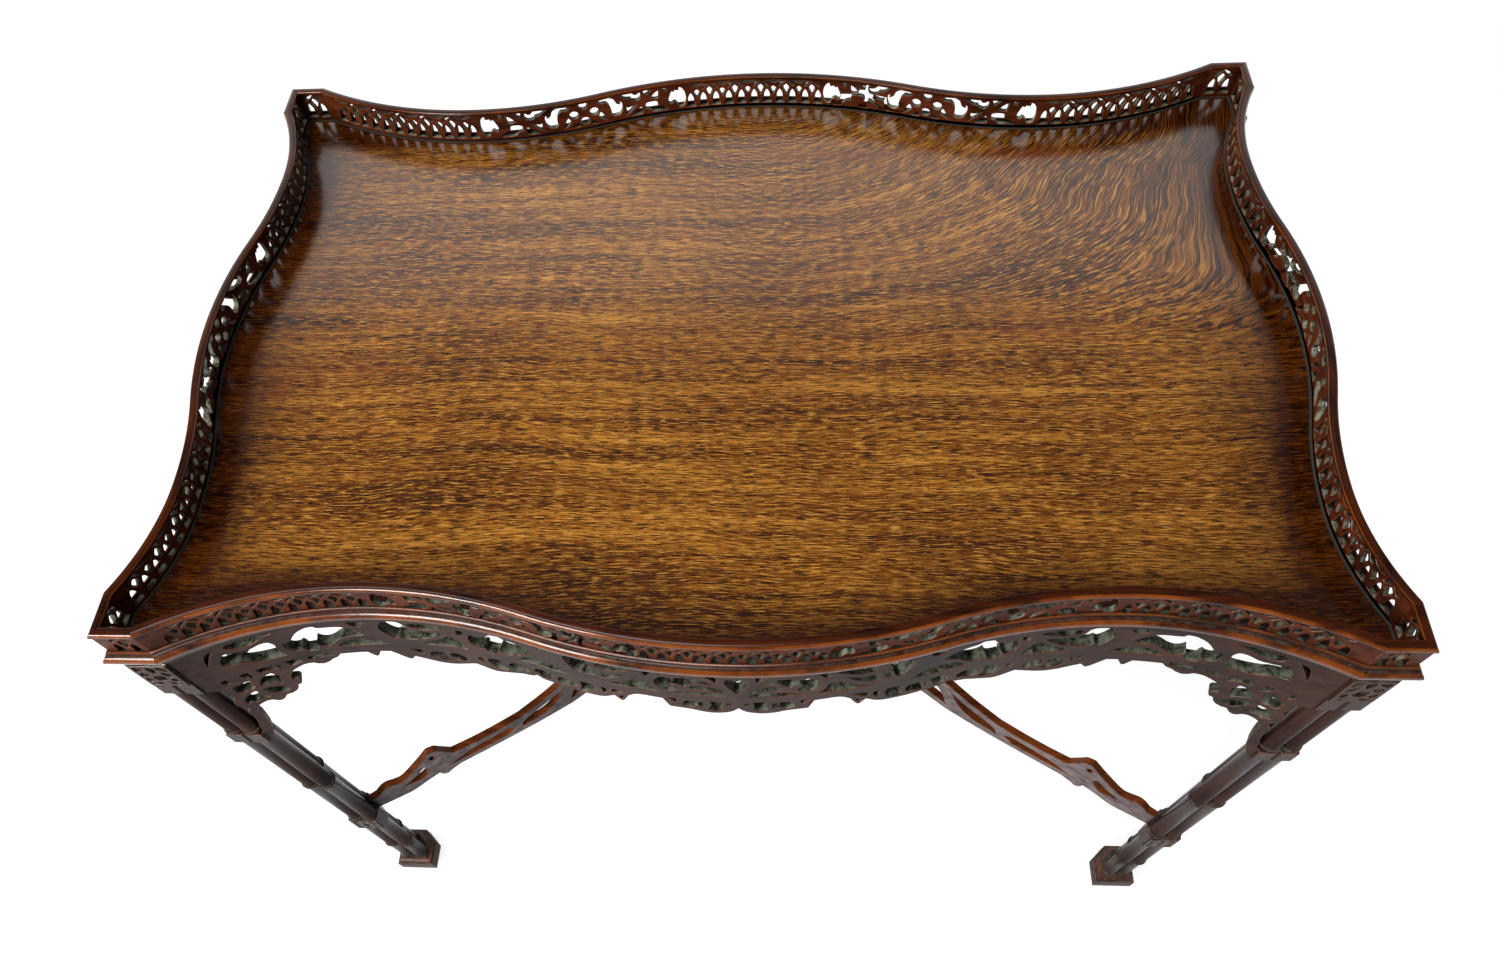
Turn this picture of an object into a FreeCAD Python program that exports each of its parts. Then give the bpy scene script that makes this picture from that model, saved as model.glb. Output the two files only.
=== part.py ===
import FreeCAD, Part
import math
import os
import Sketcher

os.makedirs("parts", exist_ok=True)
doc = FreeCAD.newDocument("silver_table")
sheet = doc.addObject("Spreadsheet::Sheet", "Sizes")

# Every driving size of the table, in millimetres, except counts and shares.
# The origin is on the floor below the middle of the top; +X is right, +Y is back, +Z is up.
SIZES = {
    # plan of the top, measured at the outer edge of the cap rail
    "half_length": 483,
    "half_depth": 319,
    "total_height": 725,
    "long_bow_radius": 505,
    "long_crest_out": 4.6,
    "long_hollow_at": 285,
    "long_hollow_depth": 45.5,
    "long_end_radius": 345,
    "short_bow_radius": 385,
    "short_crest_in": 0.7,
    "short_hollow_at": 183,
    "short_hollow_depth": 23.1,
    "short_end_radius": 212,
    # top board, gallery and edge moulding
    "board_inset": 1,
    "board_thickness": 16,
    "gallery_rise": 33.5,
    "gallery_rebate": 1.5,
    "cap_width": 8.5,
    "cap_thickness": 4.5,
    "fret_thickness": 5,
    "moulding_nose": 6,
    "moulding_lip": 2.2,
    "moulding_foot": 3.5,
    "moulding_drop": 8,
    "moulding_rise": 6.5,
    "moulding_step": 3.5,
    "moulding_nose_drop": 1.9,
    # gallery piercing
    "lancet_pitch": 13.55,
    "lancet_width": 6.6,
    "lancet_foot": 3,
    "lancet_height": 15.5,
    "round_radius": 9.6,
    "bar_width": 3.2,
    "cross_half_width": 12.5,
    "petal_radius": 3.4,
    "petal_ring": 5.6,
    "long_round_one": 86,
    "long_cross_one": 120,
    "long_round_two": 153,
    "long_flower": 182,
    "long_round_three": 212,
    "long_cross_two": 246,
    "long_round_four": 279,
    "long_arches_from": 303,
    "short_round_one": 32,
    "short_cross_one": 66,
    "short_round_two": 101,
    "short_arches_from": 123,
    # aprons and brackets
    "apron_inset": 2,
    "apron_thickness": 10.5,
    "apron_height": 85,
    "rail_depth": 59.5,
    "bracket_inset": 3,
    "bracket_thickness": 9,
    "bracket_length": 117,
    "bracket_height": 119,
    # legs
    "leg_in_long": 16.5,
    "leg_in_short": 17,
    "block_half": 17.2,
    "block_chamfer": 17,
    "block_groove": 2.2,
    "block_height": 60,
    "column_offset": 8.3,
    "column_radius": 8.5,
    "upper_collar_level": 496,
    "upper_collar_height": 20.4,
    "collar_step": 2.6,
    "collar_step_in": 1.4,
    "upper_band_level": 355,
    "lower_collar_level": 192.4,
    "lower_collar_height": 35.1,
    "lower_band_level": 107,
    "band_bead": 1.7,
    "tenon_radius": 7,
    "tenon_length": 12,
    "glue_gap": 0.1,
    # feet
    "foot_clear": 12,
    "plinth_half": 24,
    "plinth_chamfer": 17,
    "plinth_height": 21.3,
    "foot_step_height": 3.2,
    "foot_step_in": 2,
    # castors
    "castor_hole_radius": 17,
    "castor_hole_depth": 12,
    "wheel_radius": 9,
    "wheel_width": 8,
    "wheel_gap": 0.4,
    "axle_radius": 2,
    "axle_gap": 0.05,
    "castor_trail": 6,
    "cheek_thickness": 1.5,
    "cheek_reach": 3.6,
    "horn_plate_radius": 7.5,
    "horn_plate_thickness": 2.8,
    "castor_plate_radius": 15,
    "castor_plate_thickness": 2,
    "castor_gap": 0.4,
    "pivot_radius": 2.9,
    "pivot_gap": 0.08,
    "pivot_head_radius": 4,
    "pivot_head_height": 1.2,
    "pivot_recess": 3,
    # stretcher
    "arm_thickness": 9,
    "arm_level": 207,
    "arm_rise": 118,
    "boss_radius": 19,
    "boss_drop": 12,
    "arm_end_low_share": 0.28,
    "arm_end_high_share": 0.975,
    "boss_finial": 14,
    "boss_round_share": 0.8,
    "boss_tip_share": 0.9,
    # screws and glue blocks
    "screw_radius": 1.2,
    "screw_length": 10,
    "screw_head_radius": 2,
    "screw_head_height": 1.2,
    "screw_gap": 0.05,
    "castor_screw_circle": 11.8,
    "castor_screw_count": 3,
    "block_screw_radius": 1.9,
    "block_screw_length": 22,
    "block_screw_head_radius": 3.4,
    "block_screw_head_height": 1.8,
    "glue_block_length": 38,
    "glue_block_side": 14,
    "glue_block_spread": 285,
    "overrun": 30,
}
for row, (alias, value) in enumerate(SIZES.items(), 1):
    cell = "A%d" % row
    sheet.set(cell, str(value))
    sheet.setAlias(cell, alias)
doc.recompute()


def size(alias):
    return float(sheet.get(alias))


V = FreeCAD.Vector
ORIGIN = V(0, 0, 0)
X_AXIS = V(1, 0, 0)
Y_AXIS = V(0, 1, 0)
Z_AXIS = V(0, 0, 1)
nodes = []


def keep(item, label):
    """Gives a finished sub-part its label and puts it on the list to write."""
    item.Label = label
    nodes.append(item)
    return item


# Outlines. Each is a list of runs: two points make a line and more make a smooth curve.
# Points are shares of the piece's own length and height, read off the real outline. The apron's
# lower edge takes its lengths as shares of the clear half span between the brackets.
APRON_LOW_SHARES = (
    ((0, 0.2), (0.017, 0.118), (0.05, 0.071), (0.084, 0.082), (0.117, 0.129), (0.166, 0.153)),
    ((0.166, 0.153), (0.18, 0.329)),
    ((0.18, 0.329), (0.236, 0.341), (0.264, 0.259)),
    ((0.264, 0.259), (0.285, 0.094), (0.303, 0.188)),
    ((0.303, 0.188), (0.34, 0.082), (0.405, 0.059)),
    ((0.405, 0.059), (0.457, 0.071), (0.492, 0.082), (0.509, 0.141)),
    ((0.509, 0.141), (0.523, 0.094), (0.552, 0.071)),
    ((0.552, 0.071), (0.594, 0.012), (0.631, -0.012), (0.674, 0.094)),
    ((0.674, 0.094), (0.729, 0.024), (0.771, 0.035), (0.828, 0.153)),
    ((0.828, 0.153), (0.846, 0.094), (0.88, 0.271)),
    ((0.88, 0.271), (0.905, 0.282)),
    ((0.905, 0.282), (0.922, 0.176), (0.939, 0.282)),
    ((0.939, 0.282), (1, 0.306)),
    ((1, 0.306), (1.8, 0.306)),
    ((1.8, 0.306), (1.8, -0.3)),
    ((1.8, -0.3), (0, -0.3)),
    ((0, -0.3), (0, 0.2)),
)
APRON_HOLE_SHARES = (
    # square opening at the end of the frieze
    (((0.831, 0.541), (0.846, 0.459)), ((0.846, 0.459), (0.922, 0.459)),
     ((0.922, 0.459), (0.922, 0.788)), ((0.922, 0.788), (0.846, 0.788)),
     ((0.846, 0.788), (0.831, 0.706), (0.842, 0.624), (0.831, 0.541))),
    # opening over the low lens
    (((0.785, 0.8), (0.751, 0.847), (0.716, 0.8)), ((0.716, 0.8), (0.727, 0.659)),
     ((0.727, 0.659), (0.748, 0.624), (0.774, 0.659)), ((0.774, 0.659), (0.785, 0.8))),
    # low lens on the rail
    (((0.746, 0.447), (0.725, 0.541), (0.701, 0.576), (0.679, 0.529), (0.659, 0.447)),
     ((0.659, 0.447), (0.746, 0.447))),
    # large leaf-edged opening
    (((0.636, 0.882), (0.649, 0.729), (0.642, 0.612), (0.625, 0.565)),
     ((0.625, 0.565), (0.59, 0.529), (0.557, 0.588), (0.525, 0.741)),
     ((0.525, 0.741), (0.568, 0.753), (0.599, 0.871)), ((0.599, 0.871), (0.636, 0.882))),
    # lens above it
    (((0.582, 0.871), (0.57, 0.82), (0.547, 0.808), (0.522, 0.845)),
     ((0.522, 0.845), (0.553, 0.918), (0.582, 0.871))),
    # triangle on the rail
    (((0.577, 0.447), (0.534, 0.594), (0.518, 0.652)),
     ((0.518, 0.652), (0.505, 0.627), (0.492, 0.506)),
     ((0.492, 0.506), (0.534, 0.449), (0.577, 0.447))),
    # inside of the first scroll
    (((0.486, 0.706), (0.488, 0.565), (0.462, 0.494), (0.438, 0.553)),
     ((0.438, 0.553), (0.445, 0.659), (0.44, 0.824)),
     ((0.44, 0.824), (0.458, 0.776), (0.486, 0.706))),
    # leaf opening in the middle
    (((0.421, 0.644), (0.416, 0.561), (0.406, 0.526)),
     ((0.406, 0.526), (0.38, 0.622), (0.356, 0.682)),
     ((0.356, 0.682), (0.377, 0.812), (0.408, 0.788), (0.421, 0.644))),
    # long slit beneath it
    (((0.406, 0.424), (0.373, 0.545), (0.336, 0.545), (0.302, 0.482)),
     ((0.302, 0.482), (0.354, 0.4), (0.406, 0.424))),
    # narrow upright opening
    (((0.293, 0.847), (0.295, 0.647), (0.277, 0.588)),
     ((0.277, 0.588), (0.262, 0.718), (0.265, 0.894)),
     ((0.265, 0.894), (0.28, 0.918), (0.293, 0.847))),
    # two lenses beside it
    (((0.245, 0.918), (0.217, 0.966), (0.182, 0.918)),
     ((0.182, 0.918), (0.217, 0.871), (0.245, 0.918))),
    (((0.243, 0.716), (0.217, 0.786), (0.182, 0.716)),
     ((0.182, 0.716), (0.213, 0.667), (0.243, 0.716))),
    # second triangle on the rail
    (((0.232, 0.447), (0.2, 0.521), (0.189, 0.612)),
     ((0.189, 0.612), (0.176, 0.521), (0.148, 0.447)),
     ((0.148, 0.447), (0.189, 0.424), (0.232, 0.447))),
    # inside of the second scroll
    (((0.137, 0.753), (0.134, 0.634), (0.121, 0.575), (0.11, 0.612)),
     ((0.11, 0.612), (0.119, 0.741), (0.112, 0.847)),
     ((0.112, 0.847), (0.128, 0.859), (0.137, 0.753))),
    # leaf and slit beside the heart
    (((0.094, 0.8), (0.078, 0.872), (0.039, 0.765)),
     ((0.039, 0.765), (0.078, 0.694), (0.094, 0.8))),
    (((0.108, 0.471), (0.082, 0.566), (0.026, 0.482)),
     ((0.026, 0.482), (0.065, 0.424), (0.108, 0.471))),
)
HEART_SHARES = (
    ((0, 0.918), (0.02, 0.847), (0.02, 0.706), (0, 0.541)),
    ((0, 0.541), (-0.02, 0.706), (-0.02, 0.847), (0, 0.918)),
)
BRACKET_SHARES = (
    ((0, 1), (1, 1)),
    ((1, 1), (0.94, 0.958), (0.872, 0.908), (0.803, 0.899), (0.735, 0.958)),
    ((0.735, 0.958), (0.641, 0.908), (0.564, 0.916)),
    ((0.564, 0.916), (0.59, 0.849), (0.624, 0.891)),
    ((0.624, 0.891), (0.658, 0.824), (0.624, 0.714), (0.573, 0.681)),
    ((0.573, 0.681), (0.547, 0.613), (0.479, 0.588)),
    ((0.479, 0.588), (0.427, 0.513), (0.342, 0.487)),
    ((0.342, 0.487), (0.308, 0.58), (0.222, 0.563)),
    ((0.222, 0.563), (0.179, 0.496), (0.145, 0.37)),
    ((0.145, 0.37), (0.197, 0.361)),
    ((0.197, 0.361), (0.205, 0.261), (0.12, 0.084), (0, 0)),
    # scribed round the ring of beads above the collar
    ((0, 0), (0, 0.175)),
    ((0, 0.175), (0.02, 0.175)),
    ((0.02, 0.175), (0.02, 0.222)),
    ((0.02, 0.222), (0, 0.222)),
    ((0, 0.222), (0, 1)),
)
BRACKET_HOLE_SHARES = (
    (((0.325, 0.832), (0.393, 0.88), (0.453, 0.89)), ((0.453, 0.89), (0.496, 0.832), (0.462, 0.768)),
     ((0.462, 0.768), (0.385, 0.79), (0.325, 0.832))),
    (((0.308, 0.738), (0.41, 0.721), (0.462, 0.672)), ((0.462, 0.672), (0.385, 0.64), (0.308, 0.738))),
    (((0.137, 0.866), (0.171, 0.906), (0.222, 0.9), (0.272, 0.866)),
     ((0.272, 0.866), (0.256, 0.817), (0.188, 0.808), (0.137, 0.866))),
    (((0.128, 0.681), (0.179, 0.639), (0.281, 0.623)),
     ((0.281, 0.623), (0.248, 0.713), (0.197, 0.738), (0.128, 0.681))),
)
ARM_SHARES = (
    ((-0.012, 0.068), (-0.012, 0.288)),
    ((-0.012, 0.288), (0.01, 0.3)),
    ((0.01, 0.3), (0.024, 0.356), (0.039, 0.373), (0.054, 0.339)),
    ((0.054, 0.339), (0.074, 0.331), (0.117, 0.466), (0.15, 0.593)),
    ((0.15, 0.593), (0.167, 0.568), (0.176, 0.5), (0.195, 0.347)),
    ((0.195, 0.347), (0.247, 0.315), (0.3, 0.305), (0.358, 0.315)),
    ((0.358, 0.315), (0.423, 0.415), (0.475, 0.525), (0.525, 0.636)),
    ((0.525, 0.636), (0.637, 0.856), (0.767, 0.958), (0.878, 0.975), (1, 0.975)),
    ((1, 0.975), (1, 0.28)),
    ((1, 0.28), (0.859, 0.28), (0.711, 0.212), (0.581, 0.127), (0.479, 0.008)),
    ((0.479, 0.008), (0.399, -0.008), (0.321, 0)),
    ((0.321, 0), (0.256, 0.015), (0.191, 0.034)),
    ((0.191, 0.034), (0.167, 0), (0.156, -0.025), (0.145, 0.008), (0.141, 0.076)),
    ((0.141, 0.076), (0.111, 0.051), (0.074, 0.008), (0.039, 0.025), (-0.012, 0.068)),
)
ARM_HOLE_SHARES = (
    (((0.061, 0.212), (0.091, 0.263), (0.124, 0.364)),
     ((0.124, 0.364), (0.132, 0.28), (0.106, 0.153), (0.061, 0.212))),
    (((0.141, 0.466), (0.15, 0.517), (0.159, 0.466)), ((0.159, 0.466), (0.15, 0.415), (0.141, 0.466))),
    (((0.173, 0.127), (0.228, 0.209), (0.321, 0.219)), ((0.321, 0.219), (0.335, 0.151), (0.312, 0.086)),
     ((0.312, 0.086), (0.247, 0.093), (0.173, 0.127))),
    (((0.351, 0.093), (0.366, 0.209), (0.433, 0.331), (0.48, 0.432)),
     ((0.48, 0.432), (0.455, 0.249), (0.414, 0.122), (0.351, 0.093))),
    (((0.479, 0.11), (0.507, 0.381), (0.581, 0.619), (0.637, 0.72)),
     ((0.637, 0.72), (0.618, 0.466), (0.562, 0.246), (0.479, 0.11))),
    (((0.622, 0.28), (0.659, 0.636), (0.767, 0.856)),
     ((0.767, 0.856), (0.757, 0.585), (0.711, 0.347), (0.622, 0.28))),
    (((0.757, 0.364), (0.785, 0.653), (0.832, 0.873), (0.897, 0.89)),
     ((0.897, 0.89), (0.878, 0.619), (0.832, 0.398), (0.757, 0.364))),
)


def outline_curves(runs, place, arcs=False):
    """Curves of an outline: place turns a pair of the outline's own values into a point."""
    curves = []
    for run in runs:
        points = [place(*pair) for pair in run]
        if len(points) == 2:
            curves.append(Part.LineSegment(points[0], points[1]))
        elif len(points) == 3 and arcs:
            curves.append(Part.Arc(points[0], points[1], points[2]))
        else:
            spline = Part.BSplineCurve()
            spline.interpolate(points)
            curves.append(spline)
    return curves


def outline_face(runs, place, arcs=False):
    """Flat face inside an outline, where runs of three points can be arcs of circles."""
    return Part.Face(Part.Wire([curve.toShape() for curve in outline_curves(runs, place, arcs)]))


class Side:
    """A serpentine side seen as the back one: x runs along it and y points out of the table.

    A bow between two hollows is drawn with tangent arcs. Inset is how far in from the cap's outer
    edge a curve lies: the bow's radius shrinks by it and the hollows' radii grow by it.
    """

    def __init__(self, along, out, bow_radius, crest, hollow_at, hollow_depth, end_radius):
        self.along = along
        self.out = out
        self.bow_radius = bow_radius
        self.hollow_at = hollow_at
        self.end_radius = end_radius
        self.turn = 2 * math.atan(hollow_depth / hollow_at)
        self.hollow_radius = hollow_at / math.sin(self.turn) - bow_radius
        self.hollow_out = crest - hollow_depth
        self.bow_centre = V(0, crest - bow_radius, 0)
        self.hollow_centre = V(hollow_at, self.hollow_out + self.hollow_radius, 0)
        self.end_centre = V(hollow_at, self.hollow_out + end_radius, 0)

    def kink(self, inset):
        """Where the curve at this inset meets the straight edge of the corner."""
        radius = self.end_radius + inset
        rise = self.end_centre.y - (self.out - inset)
        return V(self.hollow_at + math.sqrt(radius ** 2 - rise ** 2), self.out - inset, 0)

    def x_along(self, path, inset):
        """How far along x a length measured along the curve from the middle reaches."""
        bow = (self.bow_radius - inset) * self.turn
        hollow = (self.hollow_radius + inset) * self.turn
        way = abs(path)
        if way <= bow:
            radius = self.bow_radius - inset
            x = radius * math.sin(way / radius)
        elif way <= bow + hollow:
            radius = self.hollow_radius + inset
            x = self.hollow_at - radius * math.sin((bow + hollow - way) / radius)
        else:
            radius = self.end_radius + inset
            x = self.hollow_at + radius * math.sin((way - bow - hollow) / radius)
        return math.copysign(x, path)

    def path_to(self, x, inset):
        """Length along the curve from the middle to an x in the end hollow."""
        bow = (self.bow_radius - inset) * self.turn
        hollow = (self.hollow_radius + inset) * self.turn
        radius = self.end_radius + inset
        return bow + hollow + radius * math.asin((x - self.hollow_at) / radius)

    def curves(self, inset):
        """Edges at an inset, from the middle of the straight corner edge to the other one."""
        def on(centre, radius, angle):
            return centre + V(radius * math.sin(angle), radius * math.cos(angle), 0)

        bow = self.bow_radius - inset
        hollow = self.hollow_radius + inset
        end = self.end_radius + inset
        kink = self.kink(inset)
        corner = V(self.along - inset, self.out - inset, 0)
        sweep = math.asin((kink.x - self.hollow_at) / end)
        crest = on(self.bow_centre, bow, 0)
        join = on(self.bow_centre, bow, self.turn)
        low = on(self.hollow_centre, hollow, math.pi)
        half = [
            Part.Arc(join, on(self.hollow_centre, hollow, math.pi + self.turn / 2), low).toShape(),
            Part.Arc(low, on(self.end_centre, end, math.pi - sweep / 2), kink).toShape(),
            Part.LineSegment(kink, corner).toShape(),
        ]
        other = [edge.mirror(ORIGIN, X_AXIS) for edge in half]
        bow_arc = Part.Arc(V(-join.x, join.y, 0), crest, join).toShape()
        return [bow_arc] + half + other

    def beyond_mitre(self, bottom, top):
        """Everything past the mitre between the curved run and the corner, between two levels."""
        over = size("overrun")
        near = self.kink(-over / 2)
        far = self.kink(over / 2)
        plan = [near, far, V(self.along + over, far.y, 0), V(self.along + over, near.y, 0), near]
        face = Part.Face(Part.makePolygon([p + V(0, 0, bottom) for p in plan]))
        return face.extrude(V(0, 0, top - bottom))

    def sweep(self, runs):
        """A section of insets and levels, run along the whole curve and past both mitres."""
        def section(centre, radius, sign):
            def place(inset, level):
                return V(centre.x, centre.y + sign * (radius - sign * inset), level)
            return outline_face(runs, place, arcs=True)

        reach = self.kink(0).x + size("overrun") / 2
        end_turn = math.degrees(math.asin((reach - self.hollow_at) / self.end_radius))
        turn = math.degrees(self.turn)
        bow = section(self.bow_centre, self.bow_radius, 1).revolve(self.bow_centre, Z_AXIS, -turn)
        hollow = section(self.hollow_centre, self.hollow_radius, -1)
        hollow = hollow.revolve(self.hollow_centre, Z_AXIS, -turn)
        end = section(self.end_centre, self.end_radius, -1)
        end = end.revolve(self.end_centre, Z_AXIS, end_turn)
        half = bow.fuse([hollow, end])
        return half.fuse(half.mirror(ORIGIN, X_AXIS)).removeSplitter()

    def run_between_mitres(self, runs, bottom, top):
        """A swept section cut at both mitres."""
        past = self.beyond_mitre(bottom, top)
        return self.sweep(runs).cut([past, past.mirror(ORIGIN, X_AXIS)])

    def corner_leg(self, runs, bottom, top):
        """The straight half of a corner piece, mitred to the curved run and at the corner."""
        over = size("overrun")
        face = outline_face(
            runs, lambda inset, level: V(self.hollow_at, self.out - inset, level), arcs=True)
        leg = face.extrude(V(self.along + over - self.hollow_at, 0, 0))
        leg = leg.common(self.beyond_mitre(bottom, top))
        plan = [
            V(self.along + over, self.out + over, bottom),
            V(self.along - 2 * over, self.out - 2 * over, bottom),
            V(self.along + over, self.out - 2 * over, bottom),
            V(self.along + over, self.out + over, bottom),
        ]
        past = Part.Face(Part.makePolygon(plan)).extrude(V(0, 0, top - bottom))
        return leg.cut(past)


long_side = Side(
    size("half_length"), size("half_depth"), size("long_bow_radius"),
    size("half_depth") + size("long_crest_out"), size("long_hollow_at"),
    size("long_hollow_depth"), size("long_end_radius"))
short_side = Side(
    size("half_depth"), size("half_length"), size("short_bow_radius"),
    size("half_length") - size("short_crest_in"), size("short_hollow_at"),
    size("short_hollow_depth"), size("short_end_radius"))

# Levels of the top, worked down from the overall height.
cap_top = size("total_height")
cap_under = cap_top - size("cap_thickness")
board_top = cap_top - size("gallery_rise")
board_under = board_top - size("board_thickness")
moulding_low = board_top - size("moulding_drop")
moulding_high = board_top + size("moulding_rise")

SIDES = (
    ("back", long_side, 0),
    ("right", short_side, -90),
    ("front", long_side, 180),
    ("left", short_side, 90),
)
CORNERS = (("br", 1, 1), ("fr", 1, -1), ("bl", -1, 1), ("fl", -1, -1))


def rectangle(inset, thickness, low, high):
    """A plain upright section for a panel."""
    back = inset + thickness
    return (
        ((inset, low), (back, low)),
        ((back, low), (back, high)),
        ((back, high), (inset, high)),
        ((inset, high), (inset, low)),
    )


def feature(label, shape, angle=0):
    """A sub-part drawn with curves of its own, turned about the table's upright axis."""
    item = doc.addObject("Part::Feature", label)
    item.Shape = shape
    item.Placement = FreeCAD.Placement(ORIGIN, FreeCAD.Rotation(Z_AXIS, angle))
    return keep(item, label)


def solid_of(shape):
    """The single solid inside a boolean's result."""
    solids = shape.Solids
    if len(solids) != 1:
        raise ValueError("expected one solid and found %d" % len(solids))
    return solids[0]


def feature_on_sides(label, draw):
    """Four sub-parts from two drawings: the back and front are alike, and so are the ends."""
    drawn = {side: solid_of(draw(side)) for side in (long_side, short_side)}
    for name, side, angle in SIDES:
        feature(label + name, drawn[side], angle)


def corner_shape(runs, bottom, top):
    """A mitred corner piece for the back right corner."""
    across = short_side.corner_leg(runs, bottom, top).mirror(ORIGIN, V(1, -1, 0))
    return solid_of(long_side.corner_leg(runs, bottom, top).fuse(across).removeSplitter())


def at_corner(shape, along_x, along_y):
    """A back right corner shape mirrored to another corner."""
    if along_x < 0:
        shape = shape.mirror(ORIGIN, X_AXIS)
    if along_y < 0:
        shape = shape.mirror(ORIGIN, Y_AXIS)
    return shape


def plan_face(inset, level):
    """Everything inside the table's outline at an inset, as a flat face."""
    edges = []
    for name, side, angle in SIDES:
        for edge in side.curves(inset):
            edges.append(edge.rotated(ORIGIN, Z_AXIS, angle))
    wire = Part.Wire(Part.__sortEdges__(edges))
    return Part.Face(wire).translated(V(0, 0, level))


# Glue blocks: short blocks behind the aprons, shaped to their inner faces, with a screw up
# through each one into the board.
apron_back = size("apron_inset") + size("apron_thickness")
glue_side = size("glue_block_side")
glue_low = board_under - glue_side
inside = plan_face(apron_back, glue_low - size("overrun")).extrude(V(0, 0, size("overrun") + glue_side))
glue_places = []
for name, side, angle in SIDES:
    spread = size("glue_block_spread") if side is long_side else 0
    for x in sorted({-spread, 0, spread}):
        crest = side.bow_centre.y + side.bow_radius if x == 0 else side.hollow_out
        spot = V(x, crest - apron_back - glue_side / 2, 0)
        glue_places.append((FreeCAD.Rotation(Z_AXIS, angle).multVec(spot), angle))
glue_blocks = []
block_screws = []
board_holes = []
for spot, angle in glue_places:
    length = size("glue_block_length")
    corner = V(-length / 2, -glue_side / 2, glue_low)
    block = Part.makeBox(length, 2 * glue_side, glue_side, corner)
    block = block.rotated(ORIGIN, Z_AXIS, angle).translated(spot).common(inside)
    foot = spot + V(0, 0, glue_low)
    shank = Part.makeCylinder(size("block_screw_radius"), size("block_screw_length"), foot)
    head_height = size("block_screw_head_height")
    head = Part.makeCylinder(size("block_screw_head_radius"), head_height, foot - V(0, 0, head_height))
    hole = Part.makeCylinder(
        size("block_screw_radius") + size("screw_gap"),
        size("block_screw_length") + size("screw_gap"), foot)
    glue_blocks.append(solid_of(block.cut(hole)))
    block_screws.append(solid_of(shank.fuse(head).removeSplitter()))
    board_holes.append(hole)

# Top board, with the screws' pilot holes in its underside and a shallow rebate round its upper
# edge that the gallery stands in.
gallery_seat = board_top - size("gallery_rebate")
fret_back = size("board_inset") + size("fret_thickness")
board = plan_face(size("board_inset"), board_under).extrude(V(0, 0, gallery_seat - board_under))
raised = plan_face(fret_back, gallery_seat).extrude(V(0, 0, size("gallery_rebate")))
board = board.fuse(raised).removeSplitter()
feature("top_board", solid_of(board.cut(board_holes)))
feature("glue_blocks", Part.makeCompound(glue_blocks))
feature("top_screws", Part.makeCompound(block_screws))

# Edge moulding: a rounded nose below a small lip, from a straight foot.
board_edge = size("board_inset")
lip = board_edge - size("moulding_lip")
lip_level = moulding_high - size("moulding_step")
moulding_runs = (
    ((board_edge, moulding_low), (board_edge, moulding_high)),
    ((board_edge, moulding_high), (lip, moulding_high)),
    ((lip, moulding_high), (lip, lip_level)),
    ((lip, lip_level), (-size("moulding_nose"), board_top - size("moulding_nose_drop")),
     (-size("moulding_foot"), moulding_low)),
    ((-size("moulding_foot"), moulding_low), (board_edge, moulding_low)),
)
span_low = moulding_low - size("overrun")
span_high = cap_top + size("overrun")
feature_on_sides("edge_moulding_", lambda side: side.run_between_mitres(moulding_runs, span_low, span_high))
moulding_corner = corner_shape(moulding_runs, span_low, span_high)
feature("edge_moulding_corners", Part.makeCompound([
    at_corner(moulding_corner, along_x, along_y) for name, along_x, along_y in CORNERS]))

# Cap rail: a flat rail with its two upper edges eased.
ease = size("cap_thickness") / 4
cap_runs = (
    ((0, cap_under), (0, cap_top - ease)),
    ((0, cap_top - ease), (ease, cap_top)),
    ((ease, cap_top), (size("cap_width") - ease, cap_top)),
    ((size("cap_width") - ease, cap_top), (size("cap_width"), cap_top - ease)),
    ((size("cap_width"), cap_top - ease), (size("cap_width"), cap_under)),
    ((size("cap_width"), cap_under), (0, cap_under)),
)
feature_on_sides("gallery_cap_", lambda side: side.run_between_mitres(cap_runs, span_low, span_high))
cap_corner = corner_shape(cap_runs, span_low, span_high)
for name, along_x, along_y in CORNERS:
    feature("gallery_cap_corner_" + name, at_corner(cap_corner, along_x, along_y))

# Gallery fret. Every opening is cut straight through in the side's own direction, and its
# place along the fret is a length measured along the curve.
fret_low = board_top + size("lancet_foot")
fret_high = cap_under
fret_middle = (fret_low + fret_high) / 2


def through(face, side):
    """A flat face at y = 0 made into a cutter that passes out through the side."""
    return face.extrude(V(0, side.out + size("overrun"), 0))


def lancet(x):
    """Upright opening with a pointed head."""
    half = size("lancet_width") / 2
    spring = fret_low + size("lancet_height") - 2 * half
    tip = fret_low + size("lancet_height")
    runs = (
        ((x - half, fret_low), (x + half, fret_low)),
        ((x + half, fret_low), (x + half, spring)),
        ((x + half, spring), (x + half * 3 / 4, (spring + tip) / 2), (x, tip)),
        ((x, tip), (x - half * 3 / 4, (spring + tip) / 2), (x - half, spring)),
        ((x - half, spring), (x - half, fret_low)),
    )
    return outline_face(runs, lambda along, level: V(along, 0, level), arcs=True)


def kite(x):
    """Small pointed opening over a column between two lancets."""
    half = size("lancet_width") / 2
    low = fret_low + size("lancet_height") + size("bar_width") / 2
    middle = (low + fret_high) / 2
    runs = (
        ((x, low), (x + half, middle)),
        ((x + half, middle), (x, fret_high - size("bar_width") / 2)),
        ((x, fret_high - size("bar_width") / 2), (x - half, middle)),
        ((x - half, middle), (x, low)),
    )
    return outline_face(runs, lambda along, level: V(along, 0, level))


def disc(x, level, radius):
    """Round opening."""
    return Part.Face(Part.Wire(Part.makeCircle(radius, V(x, 0, level), Y_AXIS)))


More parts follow.
